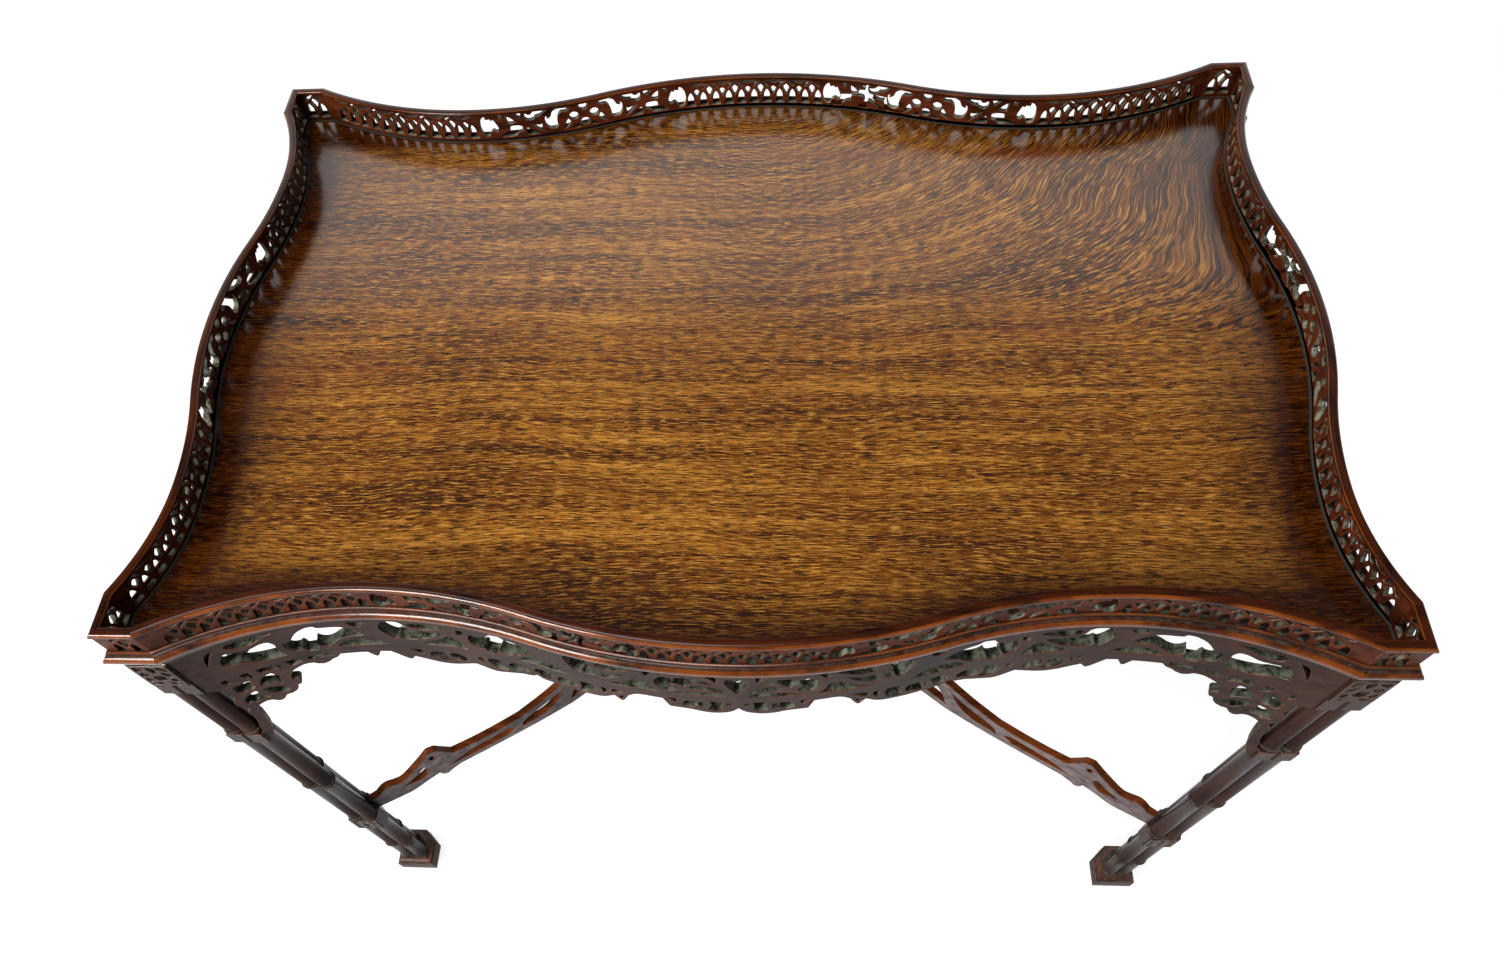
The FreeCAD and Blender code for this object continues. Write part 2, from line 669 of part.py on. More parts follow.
def cross(x):
    """Four triangles that leave two crossing bars."""
    half = size("cross_half_width")
    tall = (fret_high - fret_low) / 2 - size("bar_width") / 2
    gap = size("bar_width")
    faces = []
    for turn in (1, -1):
        upper = [V(x, 0, fret_middle + turn * gap),
                 V(x + half - gap, 0, fret_middle + turn * tall),
                 V(x - half + gap, 0, fret_middle + turn * tall),
                 V(x, 0, fret_middle + turn * gap)]
        aside = [V(x + turn * gap, 0, fret_middle),
                 V(x + turn * half, 0, fret_middle + tall - gap),
                 V(x + turn * half, 0, fret_middle - tall + gap),
                 V(x + turn * gap, 0, fret_middle)]
        faces.append(Part.Face(Part.makePolygon(upper)))
        faces.append(Part.Face(Part.makePolygon(aside)))
    return faces


def flower(x):
    """Four round petals."""
    ring = size("petal_ring")
    return [disc(x + ring * dx, fret_middle + ring * dz, size("petal_radius"))
            for dx, dz in ((1, 0), (-1, 0), (0, 1), (0, -1))]


def arcade(side, inset, start, stop):
    """Lancets at their pitch between two lengths along the curve, with kites between them."""
    pitch = size("lancet_pitch")
    count = int((stop - start) / pitch) + 1
    faces = [lancet(side.x_along(start + pitch * step, inset)) for step in range(count)]
    for step in range(count - 1):
        faces.append(kite(side.x_along(start + pitch * (step + 1 / 2), inset)))
    return faces


ROUNDS = {
    long_side: ("long_round_one", "long_round_two", "long_round_three", "long_round_four"),
    short_side: ("short_round_one", "short_round_two"),
}
CROSSES = {long_side: ("long_cross_one", "long_cross_two"), short_side: ("short_cross_one",)}
FLOWERS = {long_side: ("long_flower",), short_side: ()}
ARCHES = {long_side: "long_arches_from", short_side: "short_arches_from"}
# lancets on either side of the middle one; with none, a flower takes the middle
MIDDLE_LANCETS = {long_side: 5, short_side: 0}


def fret(side):
    """A pierced gallery panel for one side."""
    inset = size("board_inset")
    last = side.path_to(side.kink(inset).x, inset) - size("lancet_pitch")
    half = arcade(side, inset, size(ARCHES[side]), last)
    for place in ROUNDS[side]:
        half.append(disc(side.x_along(size(place), inset), fret_middle, size("round_radius")))
    for place in CROSSES[side]:
        half.extend(cross(side.x_along(size(place), inset)))
    for place in FLOWERS[side]:
        half.extend(flower(side.x_along(size(place), inset)))
    cutters = [through(face, side) for face in half]
    cutters += [cutter.mirror(ORIGIN, X_AXIS) for cutter in cutters]
    if MIDDLE_LANCETS[side]:
        reach = size("lancet_pitch") * MIDDLE_LANCETS[side]
        middle = arcade(side, inset, -reach, reach)
    else:
        middle = flower(0)
    cutters += [through(face, side) for face in middle]
    section = rectangle(inset, size("fret_thickness"), gallery_seat, cap_under)
    return side.run_between_mitres(section, span_low, span_high).cut(cutters)


feature_on_sides("gallery_fret_", fret)

# Pierced corner panels of the gallery: two lancets in each straight half.
panel = corner_shape(
    rectangle(size("board_inset"), size("fret_thickness"), gallery_seat, cap_under), span_low, span_high)
panel_cutters = []
for side in (long_side, short_side):
    middle = (side.kink(size("board_inset")).x + side.along - size("fret_thickness")) / 2
    for turn in (-1, 1):
        cutter = lancet(middle + turn * size("lancet_pitch") / 2).extrude(V(0, side.out * 2, 0))
        if side is short_side:
            cutter = cutter.mirror(ORIGIN, V(1, -1, 0))
        panel_cutters.append(cutter)
panel = solid_of(panel.cut(panel_cutters))
for name, along_x, along_y in CORNERS:
    feature("gallery_corner_" + name, at_corner(panel, along_x, along_y))

# Aprons between the legs, and the brackets beneath them.
leg_x = size("half_length") - size("leg_in_long")
leg_y = size("half_depth") - size("leg_in_short")
apron_low = board_under - size("apron_height")
rail_under = board_under - size("rail_depth")
bracket_low = rail_under - size("bracket_height")


def leg_face(side):
    """How far along a side the leg's inner face stands."""
    return (leg_x if side is long_side else leg_y) - size("block_half")


def apron(side):
    """A pierced apron between two legs, with its lower edge scalloped between the brackets."""
    inset = size("apron_inset")
    stop = leg_face(side)
    path = side.path_to(stop, inset)

    def place_by(length):
        def place(along_share, level_share):
            level = apron_low + level_share * size("apron_height")
            return V(side.x_along(along_share * length, inset), 0, level)
        return place

    cutters = [through(outline_face(APRON_LOW_SHARES, place_by(path - size("bracket_length"))), side)]
    cutters += [through(outline_face(runs, place_by(path)), side) for runs in APRON_HOLE_SHARES]
    cutters.append(Part.makeBox(
        size("overrun") * 4, side.out * 2, size("total_height"), V(stop, 0, 0)))
    cutters += [cutter.mirror(ORIGIN, X_AXIS) for cutter in cutters]
    cutters.append(through(outline_face(HEART_SHARES, place_by(path)), side))
    section = rectangle(inset, size("apron_thickness"), apron_low - size("moulding_lip"), board_under)
    return side.sweep(section).cut(cutters)


def bracket(side):
    """A pierced bracket in the angle of an apron and the leg at its +X end."""
    inset = size("bracket_inset")
    path = side.path_to(leg_face(side), inset)

    def place(in_share, level_share):
        x = side.x_along(path - in_share * size("bracket_length"), inset)
        return V(x, 0, bracket_low + level_share * size("bracket_height"))

    section = rectangle(inset, size("bracket_thickness"), bracket_low, rail_under)
    board = side.sweep(section).common(through(outline_face(BRACKET_SHARES, place), side))
    return board.cut([through(outline_face(runs, place), side) for runs in BRACKET_HOLE_SHARES])


feature_on_sides("apron_", apron)
drawn_brackets = {side: solid_of(bracket(side)) for side in (long_side, short_side)}
for name, side, angle in SIDES:
    feature("bracket_%s_one" % name, drawn_brackets[side], angle)
    feature("bracket_%s_two" % name, drawn_brackets[side].mirror(ORIGIN, X_AXIS), angle)


# Bodies drawn with sketches. Each one is drawn about its own axis and set in place.
def body_plane(body, role):
    for item in body.Origin.OriginFeatures:
        if item.Role == role:
            return item
    raise ValueError(role)


def polygon_sketch(body, name, role, points, lift=None):
    """A closed sketch whose corners are held by expressions."""
    sketch = body.newObject("Sketcher::SketchObject", name)
    sketch.AttachmentSupport = (body_plane(body, role), [""])
    sketch.MapMode = "FlatFace"
    if lift:
        sketch.setExpression("AttachmentOffset.Base.z", lift)
    count = len(points)
    ring = [V(math.cos(2 * math.pi * i / count), math.sin(2 * math.pi * i / count), 0)
            for i in range(count)]
    for i in range(count):
        sketch.addGeometry(Part.LineSegment(ring[i], ring[(i + 1) % count]), False)
    for i in range(count):
        sketch.addConstraint(Sketcher.Constraint("Coincident", i, 2, (i + 1) % count, 1))
    for i, pair in enumerate(points):
        for kind, start, text in (("DistanceX", ring[i].x, pair[0]), ("DistanceY", ring[i].y, pair[1])):
            index = sketch.addConstraint(Sketcher.Constraint(kind, -1, 1, i, 1, start))
            sketch.setExpression("Constraints[%d]" % index, text)
    return sketch


def pad(body, name, sketch, length, taper=None):
    item = body.newObject("PartDesign::Pad", name)
    item.Profile = sketch
    item.setExpression("Length", length)
    if taper:
        item.setExpression("TaperAngle", taper)
    return item


def round_bar(body, kind, name, radius, height, place, role="XY_Plane"):
    """An added or cut cylinder along the plane's normal, from a place given by expressions."""
    item = body.newObject("PartDesign::%sCylinder" % kind, name)
    item.AttachmentSupport = (body_plane(body, role), [""])
    item.MapMode = "FlatFace"
    item.setExpression("Radius", radius)
    item.setExpression("Height", height)
    for axis, text in zip("xyz", place):
        item.setExpression("AttachmentOffset.Base." + axis, text)
    return item


def bead(body, name, ring, radius, place):
    """An added ring bead about an upright axis."""
    item = body.newObject("PartDesign::AdditiveTorus", name)
    item.AttachmentSupport = (body_plane(body, "XY_Plane"), [""])
    item.MapMode = "FlatFace"
    item.setExpression("Radius1", ring)
    item.setExpression("Radius2", radius)
    for axis, text in zip("xyz", place):
        item.setExpression("AttachmentOffset.Base." + axis, text)
    return item


def block_section(half, chamfer, groove=None):
    """A square with its inner corner cut off and, if asked, a groove down each outer face."""
    points = [("-" + half, "-" + half)]
    if groove:
        points += [("-" + groove, "-" + half), ("0", "-%s + %s" % (half, groove)), (groove, "-" + half)]
    points += [(half, "-" + half), (half, "%s - %s" % (half, chamfer)),
               ("%s - %s" % (half, chamfer), half), ("-" + half, half)]
    if groove:
        points += [("-" + half, groove), ("-%s + %s" % (half, groove), "0"), ("-" + half, "-" + groove)]
    return points


BOARD_UNDER = "Sizes.total_height - Sizes.gallery_rise - Sizes.board_thickness"
FOOT_TOP = "Sizes.foot_clear + Sizes.plinth_height + 3 * Sizes.foot_step_height"
LEG_PLACES = (("fl", -1, -1, 0), ("fr", 1, -1, 90), ("br", 1, 1, 180), ("bl", -1, 1, 270))


def set_at_leg(body, along_x, along_y, turn, level="0"):
    """Stands a body on a leg's axis, turned to face that corner."""
    body.Placement = FreeCAD.Placement(ORIGIN, FreeCAD.Rotation(Z_AXIS, turn))
    body.setExpression("Placement.Base.x", "%d * (Sizes.half_length - Sizes.leg_in_long)" % along_x)
    body.setExpression("Placement.Base.y", "%d * (Sizes.half_depth - Sizes.leg_in_short)" % along_y)
    body.setExpression("Placement.Base.z", level)


def make_leg(name):
    """Three columns round a core, with the blocks that tie them together."""
    body = doc.addObject("PartDesign::Body", name)
    offset = "Sizes.column_offset"
    core = polygon_sketch(body, name + "_core", "XY_Plane", block_section(offset, offset), FOOT_TOP)
    pad(body, name + "_core_pad", core, "%s - (%s)" % (BOARD_UNDER, FOOT_TOP))
    columns = (("-" + offset, "-" + offset), (offset, "-" + offset), ("-" + offset, offset))
    for number, (x, y) in enumerate(columns):
        label = "%s_column_%d" % (name, number)
        height = "%s - Sizes.block_height - (%s) + Sizes.collar_step" % (BOARD_UNDER, FOOT_TOP)
        round_bar(body, "Additive", label, "Sizes.column_radius", height, (x, y, FOOT_TOP))
        levels = (
            "%s + Sizes.band_bead" % FOOT_TOP,
            "Sizes.lower_band_level",
            "Sizes.lower_collar_level + Sizes.lower_collar_height + Sizes.band_bead",
            "Sizes.upper_band_level",
            "Sizes.upper_collar_level + Sizes.upper_collar_height + Sizes.collar_step + Sizes.band_bead",
        )
        for step, level in enumerate(levels):
            bead(body, "%s_bead_%d" % (label, step), "Sizes.column_radius", "Sizes.band_bead", (x, y, level))
    slabs = (
        ("lower_collar", "Sizes.block_half", "Sizes.lower_collar_level", "Sizes.lower_collar_height"),
        ("upper_collar", "Sizes.block_half", "Sizes.upper_collar_level", "Sizes.upper_collar_height"),
        ("upper_block", "Sizes.block_half", BOARD_UNDER + " - Sizes.block_height", "Sizes.block_height"),
    )
    for label, half, level, height in slabs:
        points = block_section(half, "Sizes.block_chamfer", "Sizes.block_groove")
        section = polygon_sketch(body, "%s_%s" % (name, label), "XY_Plane", points, level)
        pad(body, "%s_%s_pad" % (name, label), section, height)
    step_half = "(Sizes.block_half - Sizes.collar_step_in)"
    step_level = "Sizes.upper_collar_level + Sizes.upper_collar_height"
    points = block_section(step_half, "Sizes.block_chamfer", "Sizes.block_groove")
    section = polygon_sketch(body, name + "_collar_step", "XY_Plane", points, step_level)
    pad(body, name + "_collar_step_pad", section, "Sizes.collar_step")
    tenon_level = "%s - Sizes.tenon_length" % FOOT_TOP
    round_bar(body, "Additive", name + "_tenon", "Sizes.tenon_radius", "Sizes.tenon_length + Sizes.collar_step",
              ("0", "0", tenon_level))
    return body


def make_foot(name):
    """A moulded plinth with a mortise on top and a round hole for the castor below."""
    body = doc.addObject("PartDesign::Body", name)
    # plinth, a square step, a step with sloping sides and the square that the columns stand on
    level = "Sizes.foot_clear"
    half = "Sizes.plinth_half"
    steps = (
        (half, "Sizes.plinth_height", None),
        ("(%s - Sizes.foot_step_in)" % half, "Sizes.foot_step_height", None),
        ("(%s - 2 * Sizes.foot_step_in)" % half, "Sizes.foot_step_height", "-45"),
        ("(%s - 2 * Sizes.foot_step_in - Sizes.foot_step_height)" % half, "Sizes.foot_step_height", None),
    )
    for step, (half, height, taper) in enumerate(steps):
        points = block_section(half, "Sizes.plinth_chamfer")
        section = polygon_sketch(body, "%s_step_%d" % (name, step), "XY_Plane", points, level)
        pad(body, "%s_step_%d_pad" % (name, step), section, height, taper)
        level = "%s + %s" % (level, height)
    round_bar(body, "Subtractive", name + "_mortise", "Sizes.tenon_radius + Sizes.glue_gap",
              "Sizes.tenon_length + Sizes.glue_gap + Sizes.overrun",
              ("0", "0", "%s - Sizes.tenon_length - Sizes.glue_gap" % FOOT_TOP))
    round_bar(body, "Subtractive", name + "_hole", "Sizes.castor_hole_radius",
              "Sizes.castor_hole_depth + Sizes.overrun", ("0", "0", "Sizes.foot_clear - Sizes.overrun"))
    ceiling = "Sizes.foot_clear + Sizes.castor_hole_depth"
    round_bar(body, "Subtractive", name + "_recess",
              "Sizes.pivot_head_radius + 4 * Sizes.castor_gap", "Sizes.pivot_recess", ("0", "0", ceiling))
    for number in range(int(size("castor_screw_count"))):
        x, y = screw_place(number)
        round_bar(body, "Subtractive", "%s_screw_%d" % (name, number), "Sizes.screw_radius + Sizes.screw_gap",
                  "Sizes.screw_length - Sizes.castor_plate_thickness + Sizes.screw_gap", (x, y, ceiling))
    return body


def screw_place(number):
    """Expressions for one castor screw's place about the castor's axis."""
    angle = "(360 / Sizes.castor_screw_count * %d)" % number
    return ("Sizes.castor_screw_circle * cos(%s)" % angle, "Sizes.castor_screw_circle * sin(%s)" % angle)


PLATE_LEVEL = "Sizes.foot_clear + Sizes.castor_hole_depth - Sizes.castor_plate_thickness"
HORN_LEVEL = PLATE_LEVEL + " - Sizes.castor_gap - Sizes.horn_plate_thickness"


def make_horn(name):
    """A castor's horn: two cheeks under a round plate, with the pivot above and the axle below."""
    body = doc.addObject("PartDesign::Body", name)
    cheek_out = "(Sizes.wheel_width / 2 + Sizes.wheel_gap + Sizes.cheek_thickness)"
    reach = "Sizes.cheek_reach"
    trail = "Sizes.castor_trail"
    axle = "Sizes.wheel_radius"
    points = (
        ("-" + reach, HORN_LEVEL),
        ("%s - %s" % (trail, reach), "%s - %s / 2" % (axle, reach)),
        ("%s - %s / 2" % (trail, reach), "%s - %s" % (axle, reach)),
        ("%s + %s / 2" % (trail, reach), "%s - %s" % (axle, reach)),
        ("%s + %s" % (trail, reach), "%s - %s / 2" % (axle, reach)),
        ("%s + %s" % (trail, reach), "%s + %s" % (axle, reach)),
        ("%s - %s / 2" % (trail, reach), HORN_LEVEL),
    )
    profile = polygon_sketch(body, name + "_cheeks", "XZ_Plane", points)
    cheeks = pad(body, name + "_cheeks_pad", profile, "2 * " + cheek_out)
    cheeks.SideType = "Symmetric"
    slot = body.newObject("PartDesign::SubtractiveBox", name + "_slot")
    slot.AttachmentSupport = (body_plane(body, "XY_Plane"), [""])
    slot.MapMode = "FlatFace"
    slot.setExpression("Length", "2 * Sizes.overrun")
    slot.setExpression("Width", "Sizes.wheel_width + 2 * Sizes.wheel_gap")
    slot.setExpression("Height", HORN_LEVEL)
    slot.setExpression("AttachmentOffset.Base.x", "-Sizes.overrun")
    slot.setExpression("AttachmentOffset.Base.y", "-Sizes.wheel_width / 2 - Sizes.wheel_gap")
    round_bar(body, "Additive", name + "_plate", "Sizes.horn_plate_radius", "Sizes.horn_plate_thickness",
              ("0", "0", HORN_LEVEL))
    head_level = "%s + Sizes.castor_plate_thickness + Sizes.castor_gap" % PLATE_LEVEL
    pivot = "%s - (%s)" % (head_level, HORN_LEVEL)
    round_bar(body, "Additive", name + "_pivot", "Sizes.pivot_radius", pivot, ("0", "0", HORN_LEVEL))
    round_bar(body, "Additive", name + "_head", "Sizes.pivot_head_radius", "Sizes.pivot_head_height",
              ("0", "0", head_level))
    round_bar(body, "Additive", name + "_axle", "Sizes.axle_radius", "2 * " + cheek_out,
              (trail, axle, "-" + cheek_out), "XZ_Plane")
    return body


def make_wheel(name):
    """A castor wheel about its own axle."""
    body = doc.addObject("PartDesign::Body", name)
    round_bar(body, "Additive", name + "_tread", "Sizes.wheel_radius", "Sizes.wheel_width",
              ("0", "0", "-Sizes.wheel_width / 2"), "XZ_Plane")
    round_bar(body, "Subtractive", name + "_bore", "Sizes.axle_radius + Sizes.axle_gap",
              "Sizes.wheel_width + 2 * Sizes.wheel_gap",
              ("0", "0", "-Sizes.wheel_width / 2 - Sizes.wheel_gap"), "XZ_Plane")
    return body


for corner, along_x, along_y, turn in LEG_PLACES:
    set_at_leg(keep(make_leg("leg_" + corner), "leg_" + corner), along_x, along_y, turn)
    set_at_leg(keep(make_foot("foot_" + corner), "foot_" + corner), along_x, along_y, turn)
    horn = keep(make_horn("castor_horn_" + corner), "castor_horn_" + corner)
    set_at_leg(horn, along_x, along_y, 90)
    wheel = keep(make_wheel("castor_wheel_" + corner), "castor_wheel_" + corner)
    set_at_leg(wheel, along_x, along_y, 90, "Sizes.wheel_radius")
    wheel.setExpression(
        "Placement.Base.y",
        "%d * (Sizes.half_depth - Sizes.leg_in_short) + Sizes.castor_trail" % along_y)


# Castor plates and their screws, four sets alike, from plain round solids.
def cylinder(name, radius, height, place):
    item = doc.addObject("Part::Cylinder", name)
    item.setExpression("Radius", radius)
    item.setExpression("Height", height)
    for axis, text in zip("xyz", place):
        item.setExpression("Placement.Base." + axis, text)
    return item


def joined(kind, name, first, second):
    item = doc.addObject(kind, name)
    item.Base = first
    item.Tool = second
    return item


plates = []
castor_screws = []
for corner, along_x, along_y, turn in LEG_PLACES:
    x0 = "%d * (Sizes.half_length - Sizes.leg_in_long)" % along_x
    y0 = "%d * (Sizes.half_depth - Sizes.leg_in_short)" % along_y
    plate = cylinder("plate_disc_" + corner, "Sizes.castor_plate_radius", "Sizes.castor_plate_thickness",
                     (x0, y0, PLATE_LEVEL))
    hole = cylinder("plate_hole_" + corner, "Sizes.pivot_radius + Sizes.pivot_gap", "Sizes.overrun",
                    (x0, y0, PLATE_LEVEL + " - Sizes.overrun / 2"))
    plate = joined("Part::Cut", "plate_bored_" + corner, plate, hole)
    for number in range(int(size("castor_screw_count"))):
        # a screw's place turns with its leg, as the foot's holes do
        across, ahead = screw_place(number)
        turned = {
            0: (across, ahead),
            90: ("-(%s)" % ahead, across),
            180: ("-(%s)" % across, "-(%s)" % ahead),
            270: (ahead, "-(%s)" % across),
        }[turn]
        spot = ("%s + %s" % (x0, turned[0]), "%s + %s" % (y0, turned[1]))
        tag = "%s_%d" % (corner, number)
        hole = cylinder("plate_screw_hole_" + tag, "Sizes.screw_radius + Sizes.screw_gap", "Sizes.overrun",
                        spot + (PLATE_LEVEL + " - Sizes.overrun / 2",))
        plate = joined("Part::Cut", "plate_drilled_" + tag, plate, hole)
        shank = cylinder("screw_shank_" + tag, "Sizes.screw_radius", "Sizes.screw_length", spot + (PLATE_LEVEL,))
        head = cylinder("screw_head_" + tag, "Sizes.screw_head_radius", "Sizes.screw_head_height",
                        spot + (PLATE_LEVEL + " - Sizes.screw_head_height",))
        castor_screws.append(joined("Part::Fuse", "screw_" + tag, shank, head))
    plates.append(plate)
plate_group = keep(doc.addObject("Part::Compound", "castor_plates"), "castor_plates")
plate_group.Links = plates
screw_group = keep(doc.addObject("Part::Compound", "castor_screws"), "castor_screws")
screw_group.Links = castor_screws

# Stretcher: four pierced boards on edge that run from the lower collars to a turned boss.
arm_reach = math.hypot(leg_x, leg_y)
arm_angle = math.degrees(math.atan2(leg_y, leg_x))
cut_reach = (2 * size("block_half") - size("block_chamfer")) / math.sqrt(2)
arm_start = size("block_half")


def on_arm(along_share, level_share):
    """A point of the arm's outline in the arm's own upright plane."""
    return V(arm_start + along_share * (arm_reach - arm_start),
             size("arm_level") + level_share * size("arm_rise"), 0)


def make_arm(name, lean):
    """One arm, from its leg's axis towards the middle, cut to the collar and to the boss."""
    body = doc.addObject("PartDesign::Body", name)
    sketch = body.newObject("Sketcher::SketchObject", name + "_outline")
    sketch.AttachmentSupport = (body_plane(body, "XZ_Plane"), [""])
    sketch.MapMode = "FlatFace"
    for runs in (ARM_SHARES,) + ARM_HOLE_SHARES:
        for curve in outline_curves(runs, on_arm):
            sketch.addGeometry(curve, False)
    board_pad = pad(body, name + "_board", sketch, "Sizes.arm_thickness")
    board_pad.SideType = "Symmetric"
    # the collar's cut face is square to the diagonal, which the arm leaves at a small angle
    reach = "((2 * Sizes.block_half - Sizes.block_chamfer) / sqrt(2))"
    back = "(%s - Sizes.arm_thickness)" % reach
    side = "Sizes.arm_thickness"
    skew = "(%d * (45 deg - atan2(Sizes.half_depth - Sizes.leg_in_short; Sizes.half_length - Sizes.leg_in_long)))" % lean
    points = []
    for out, across in ((back, "-" + side), (reach, "-" + side), (reach, side), (back, side)):
        points.append(("%s * cos(%s) - (%s) * sin(%s)" % (out, skew, across, skew),
                       "%s * sin(%s) + (%s) * cos(%s)" % (out, skew, across, skew)))
    plan = polygon_sketch(body, name + "_collar_plan", "XY_Plane", points)
    pocket = body.newObject("PartDesign::Pocket", name + "_collar_cut")
    pocket.Profile = plan
    pocket.Reversed = True
    pocket.setExpression("Length", "Sizes.total_height")
    across = "sqrt(pow(Sizes.half_depth - Sizes.leg_in_short; 2) + pow(Sizes.half_length - Sizes.leg_in_long; 2))"
    round_bar(body, "Subtractive", name + "_boss_seat", "Sizes.boss_radius", "Sizes.total_height",
              (across, "0", "0"))
    return body


ARM_PLACES = (
    ("fl", -1, -1, arm_angle, 1),
    ("fr", 1, -1, 180 - arm_angle, -1),
    ("br", 1, 1, 180 + arm_angle, 1),
    ("bl", -1, 1, -arm_angle, -1),
)
for corner, along_x, along_y, turn, lean in ARM_PLACES:
    set_at_leg(keep(make_arm("stretcher_" + corner, lean), "stretcher_" + corner), along_x, along_y, turn)

boss = keep(doc.addObject("PartDesign::Body", "stretcher_boss"), "stretcher_boss")
radius = "Sizes.boss_radius"
boss_low = "Sizes.arm_level + Sizes.arm_rise * Sizes.arm_end_low_share"
boss_high = "Sizes.arm_level + Sizes.arm_rise * Sizes.arm_end_high_share"
boss_points = (
    ("0", boss_low + " - Sizes.boss_drop"),
    (radius + " / 3", boss_low + " - Sizes.boss_drop * Sizes.boss_tip_share"),
    (radius + " / 2", boss_low + " - Sizes.boss_drop / 2"),
    (radius + " * Sizes.boss_round_share", boss_low + " - Sizes.boss_drop / 3"),
    (radius, boss_low),
    (radius, boss_high),
    (radius + " * Sizes.boss_round_share", boss_high + " + Sizes.boss_finial / 4"),
    (radius + " / 2", boss_high + " + Sizes.boss_finial / 3"),
    (radius + " / 3", boss_high + " + Sizes.boss_finial * Sizes.boss_tip_share"),
    ("0", boss_high + " + Sizes.boss_finial"),
)
boss_profile = polygon_sketch(boss, "boss_profile", "XZ_Plane", boss_points)
turned_boss = boss.newObject("PartDesign::Revolution", "boss_turned")
turned_boss.Profile = boss_profile
turned_boss.ReferenceAxis = (boss_profile, ["V_Axis"])
turned_boss.Angle = 360

doc.recompute()
for item in doc.Objects:
    if "Invalid" in item.State or "Error" in item.State:
        raise RuntimeError("%s failed: %s" % (item.Name, item.State))
for item in nodes:
    shape = item.Shape
    if shape.isNull() or not shape.isValid() or shape.Volume <= 0:
        raise RuntimeError("%s has no sound shape" % item.Label)
for item in nodes:
    item.Shape.exportStep("parts/%s.step" % item.Label)
print("%d sub-parts, arm turn %.2f degrees" % (len(nodes), arm_angle))
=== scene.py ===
import bmesh
import bpy
import math
from mathutils import Matrix, Vector


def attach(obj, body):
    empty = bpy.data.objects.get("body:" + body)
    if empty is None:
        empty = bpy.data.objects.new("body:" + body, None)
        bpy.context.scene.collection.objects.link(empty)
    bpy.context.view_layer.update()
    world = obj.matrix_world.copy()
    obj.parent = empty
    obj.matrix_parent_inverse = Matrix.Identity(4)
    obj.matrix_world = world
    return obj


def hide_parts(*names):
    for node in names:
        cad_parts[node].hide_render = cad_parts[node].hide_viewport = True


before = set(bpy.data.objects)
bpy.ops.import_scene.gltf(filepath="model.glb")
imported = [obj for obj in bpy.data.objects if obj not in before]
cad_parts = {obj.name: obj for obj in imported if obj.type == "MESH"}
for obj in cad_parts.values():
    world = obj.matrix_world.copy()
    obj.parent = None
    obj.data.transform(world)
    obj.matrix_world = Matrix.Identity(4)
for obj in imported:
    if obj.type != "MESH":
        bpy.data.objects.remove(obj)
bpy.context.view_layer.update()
MM = 0.001
WELD = 0.01 * MM

# Sizes in millimetres. The solids' sizes are as in the part's source; those of the finer carving are read
# off the photograph.
HALF_LENGTH = 483
HALF_DEPTH = 319
LONG_BOW_RADIUS = 505
LONG_CREST_OUT = 4.6
LONG_HOLLOW_AT = 285
LONG_HOLLOW_DEPTH = 45.5
LONG_END_RADIUS = 345
SHORT_BOW_RADIUS = 385
SHORT_CREST_IN = 0.7
SHORT_HOLLOW_AT = 183
SHORT_HOLLOW_DEPTH = 23.1
SHORT_END_RADIUS = 212
CAP_TOP = 725
CAP_THICKNESS = 4.5
BOARD_TOP = 691.5
BOARD_UNDER = 675.5
BOARD_INSET = 1
FRET_THICKNESS = 5
CAP_UNDER = CAP_TOP - CAP_THICKNESS
MOULDING_LOW = 683.5
MOULDING_HIGH = 698
LANCET_PITCH = 13.55
SHORT_LANCET_PITCH = 14.5
MIDDLE_PITCH = 13.2
MIDDLE_COUNT = 11
LONG_ARCADE_AT = 292.4
LONG_ARCADE_COUNT = 12
SHORT_ARCADE_AT = 115
SHORT_ARCADE_COUNT = 12
MOTIF_AT = 177.7
APRON_INSET = 2
APRON_THICKNESS = 10.5
APRON_HEIGHT = 85
APRON_LOW = BOARD_UNDER - APRON_HEIGHT
RAIL_UNDER = 616
PLATE_THICKNESS = 1.6
PLATE_OUT = 0.4
PLATE_EASE = 0.3
PLATE_HALF = 16
BLOCK_FOOT = 636
BLOCK_CARVING_HEIGHT = 38
COLLAR_FOOT = 195.4
COLLAR_CARVING_HEIGHT = 29
BRACKET_INSET = 3
BRACKET_THICKNESS = 9
BRACKET_LENGTH = 117
LEG_X = 466.5
LEG_Y = 302
BLOCK_HALF = 17.2
BLOCK_CHAMFER = 17
BLOCK_GROOVE = 2.2
BLOCK_HEIGHT = 60
BLOCK_EASE = 0.8
COLUMN_OFFSET = 8.3
COLUMN_RADIUS = 8.5
UPPER_COLLAR = 496
UPPER_COLLAR_HEIGHT = 20.4
COLLAR_STEP = 2.6
COLLAR_STEP_IN = 1.4
UPPER_BAND = 355
LOWER_COLLAR = 192.4
LOWER_COLLAR_HEIGHT = 35.1
LOWER_BAND = 107
BAND_BEAD = 1.7
BAND_PROUD = 0.3
BEAD_STEPS = 6
BAND_HALF = 1.3 * BAND_BEAD
FOOT_CLEAR = 12
PLINTH_HALF = 24
PLINTH_CHAMFER = 17
PLINTH_TOP = 33.3
FOOT_TOP = 42.9
CASTOR_HOLE_RADIUS = 17
CASTOR_HOLE_DEPTH = 12
CUTTER_BELOW = 5
FOOT_EASE = 0.6
ARM_THICKNESS = 9
ARM_LEVEL = 207
ARM_RISE = 118
ARM_EASE = 0.6
ARM_REACH = math.hypot(LEG_X, LEG_Y)
ARM_INTO_BOSS = 0.6
BOSS_RADIUS = 19
BOSS_DROP = 12
BOSS_FINIAL = 14
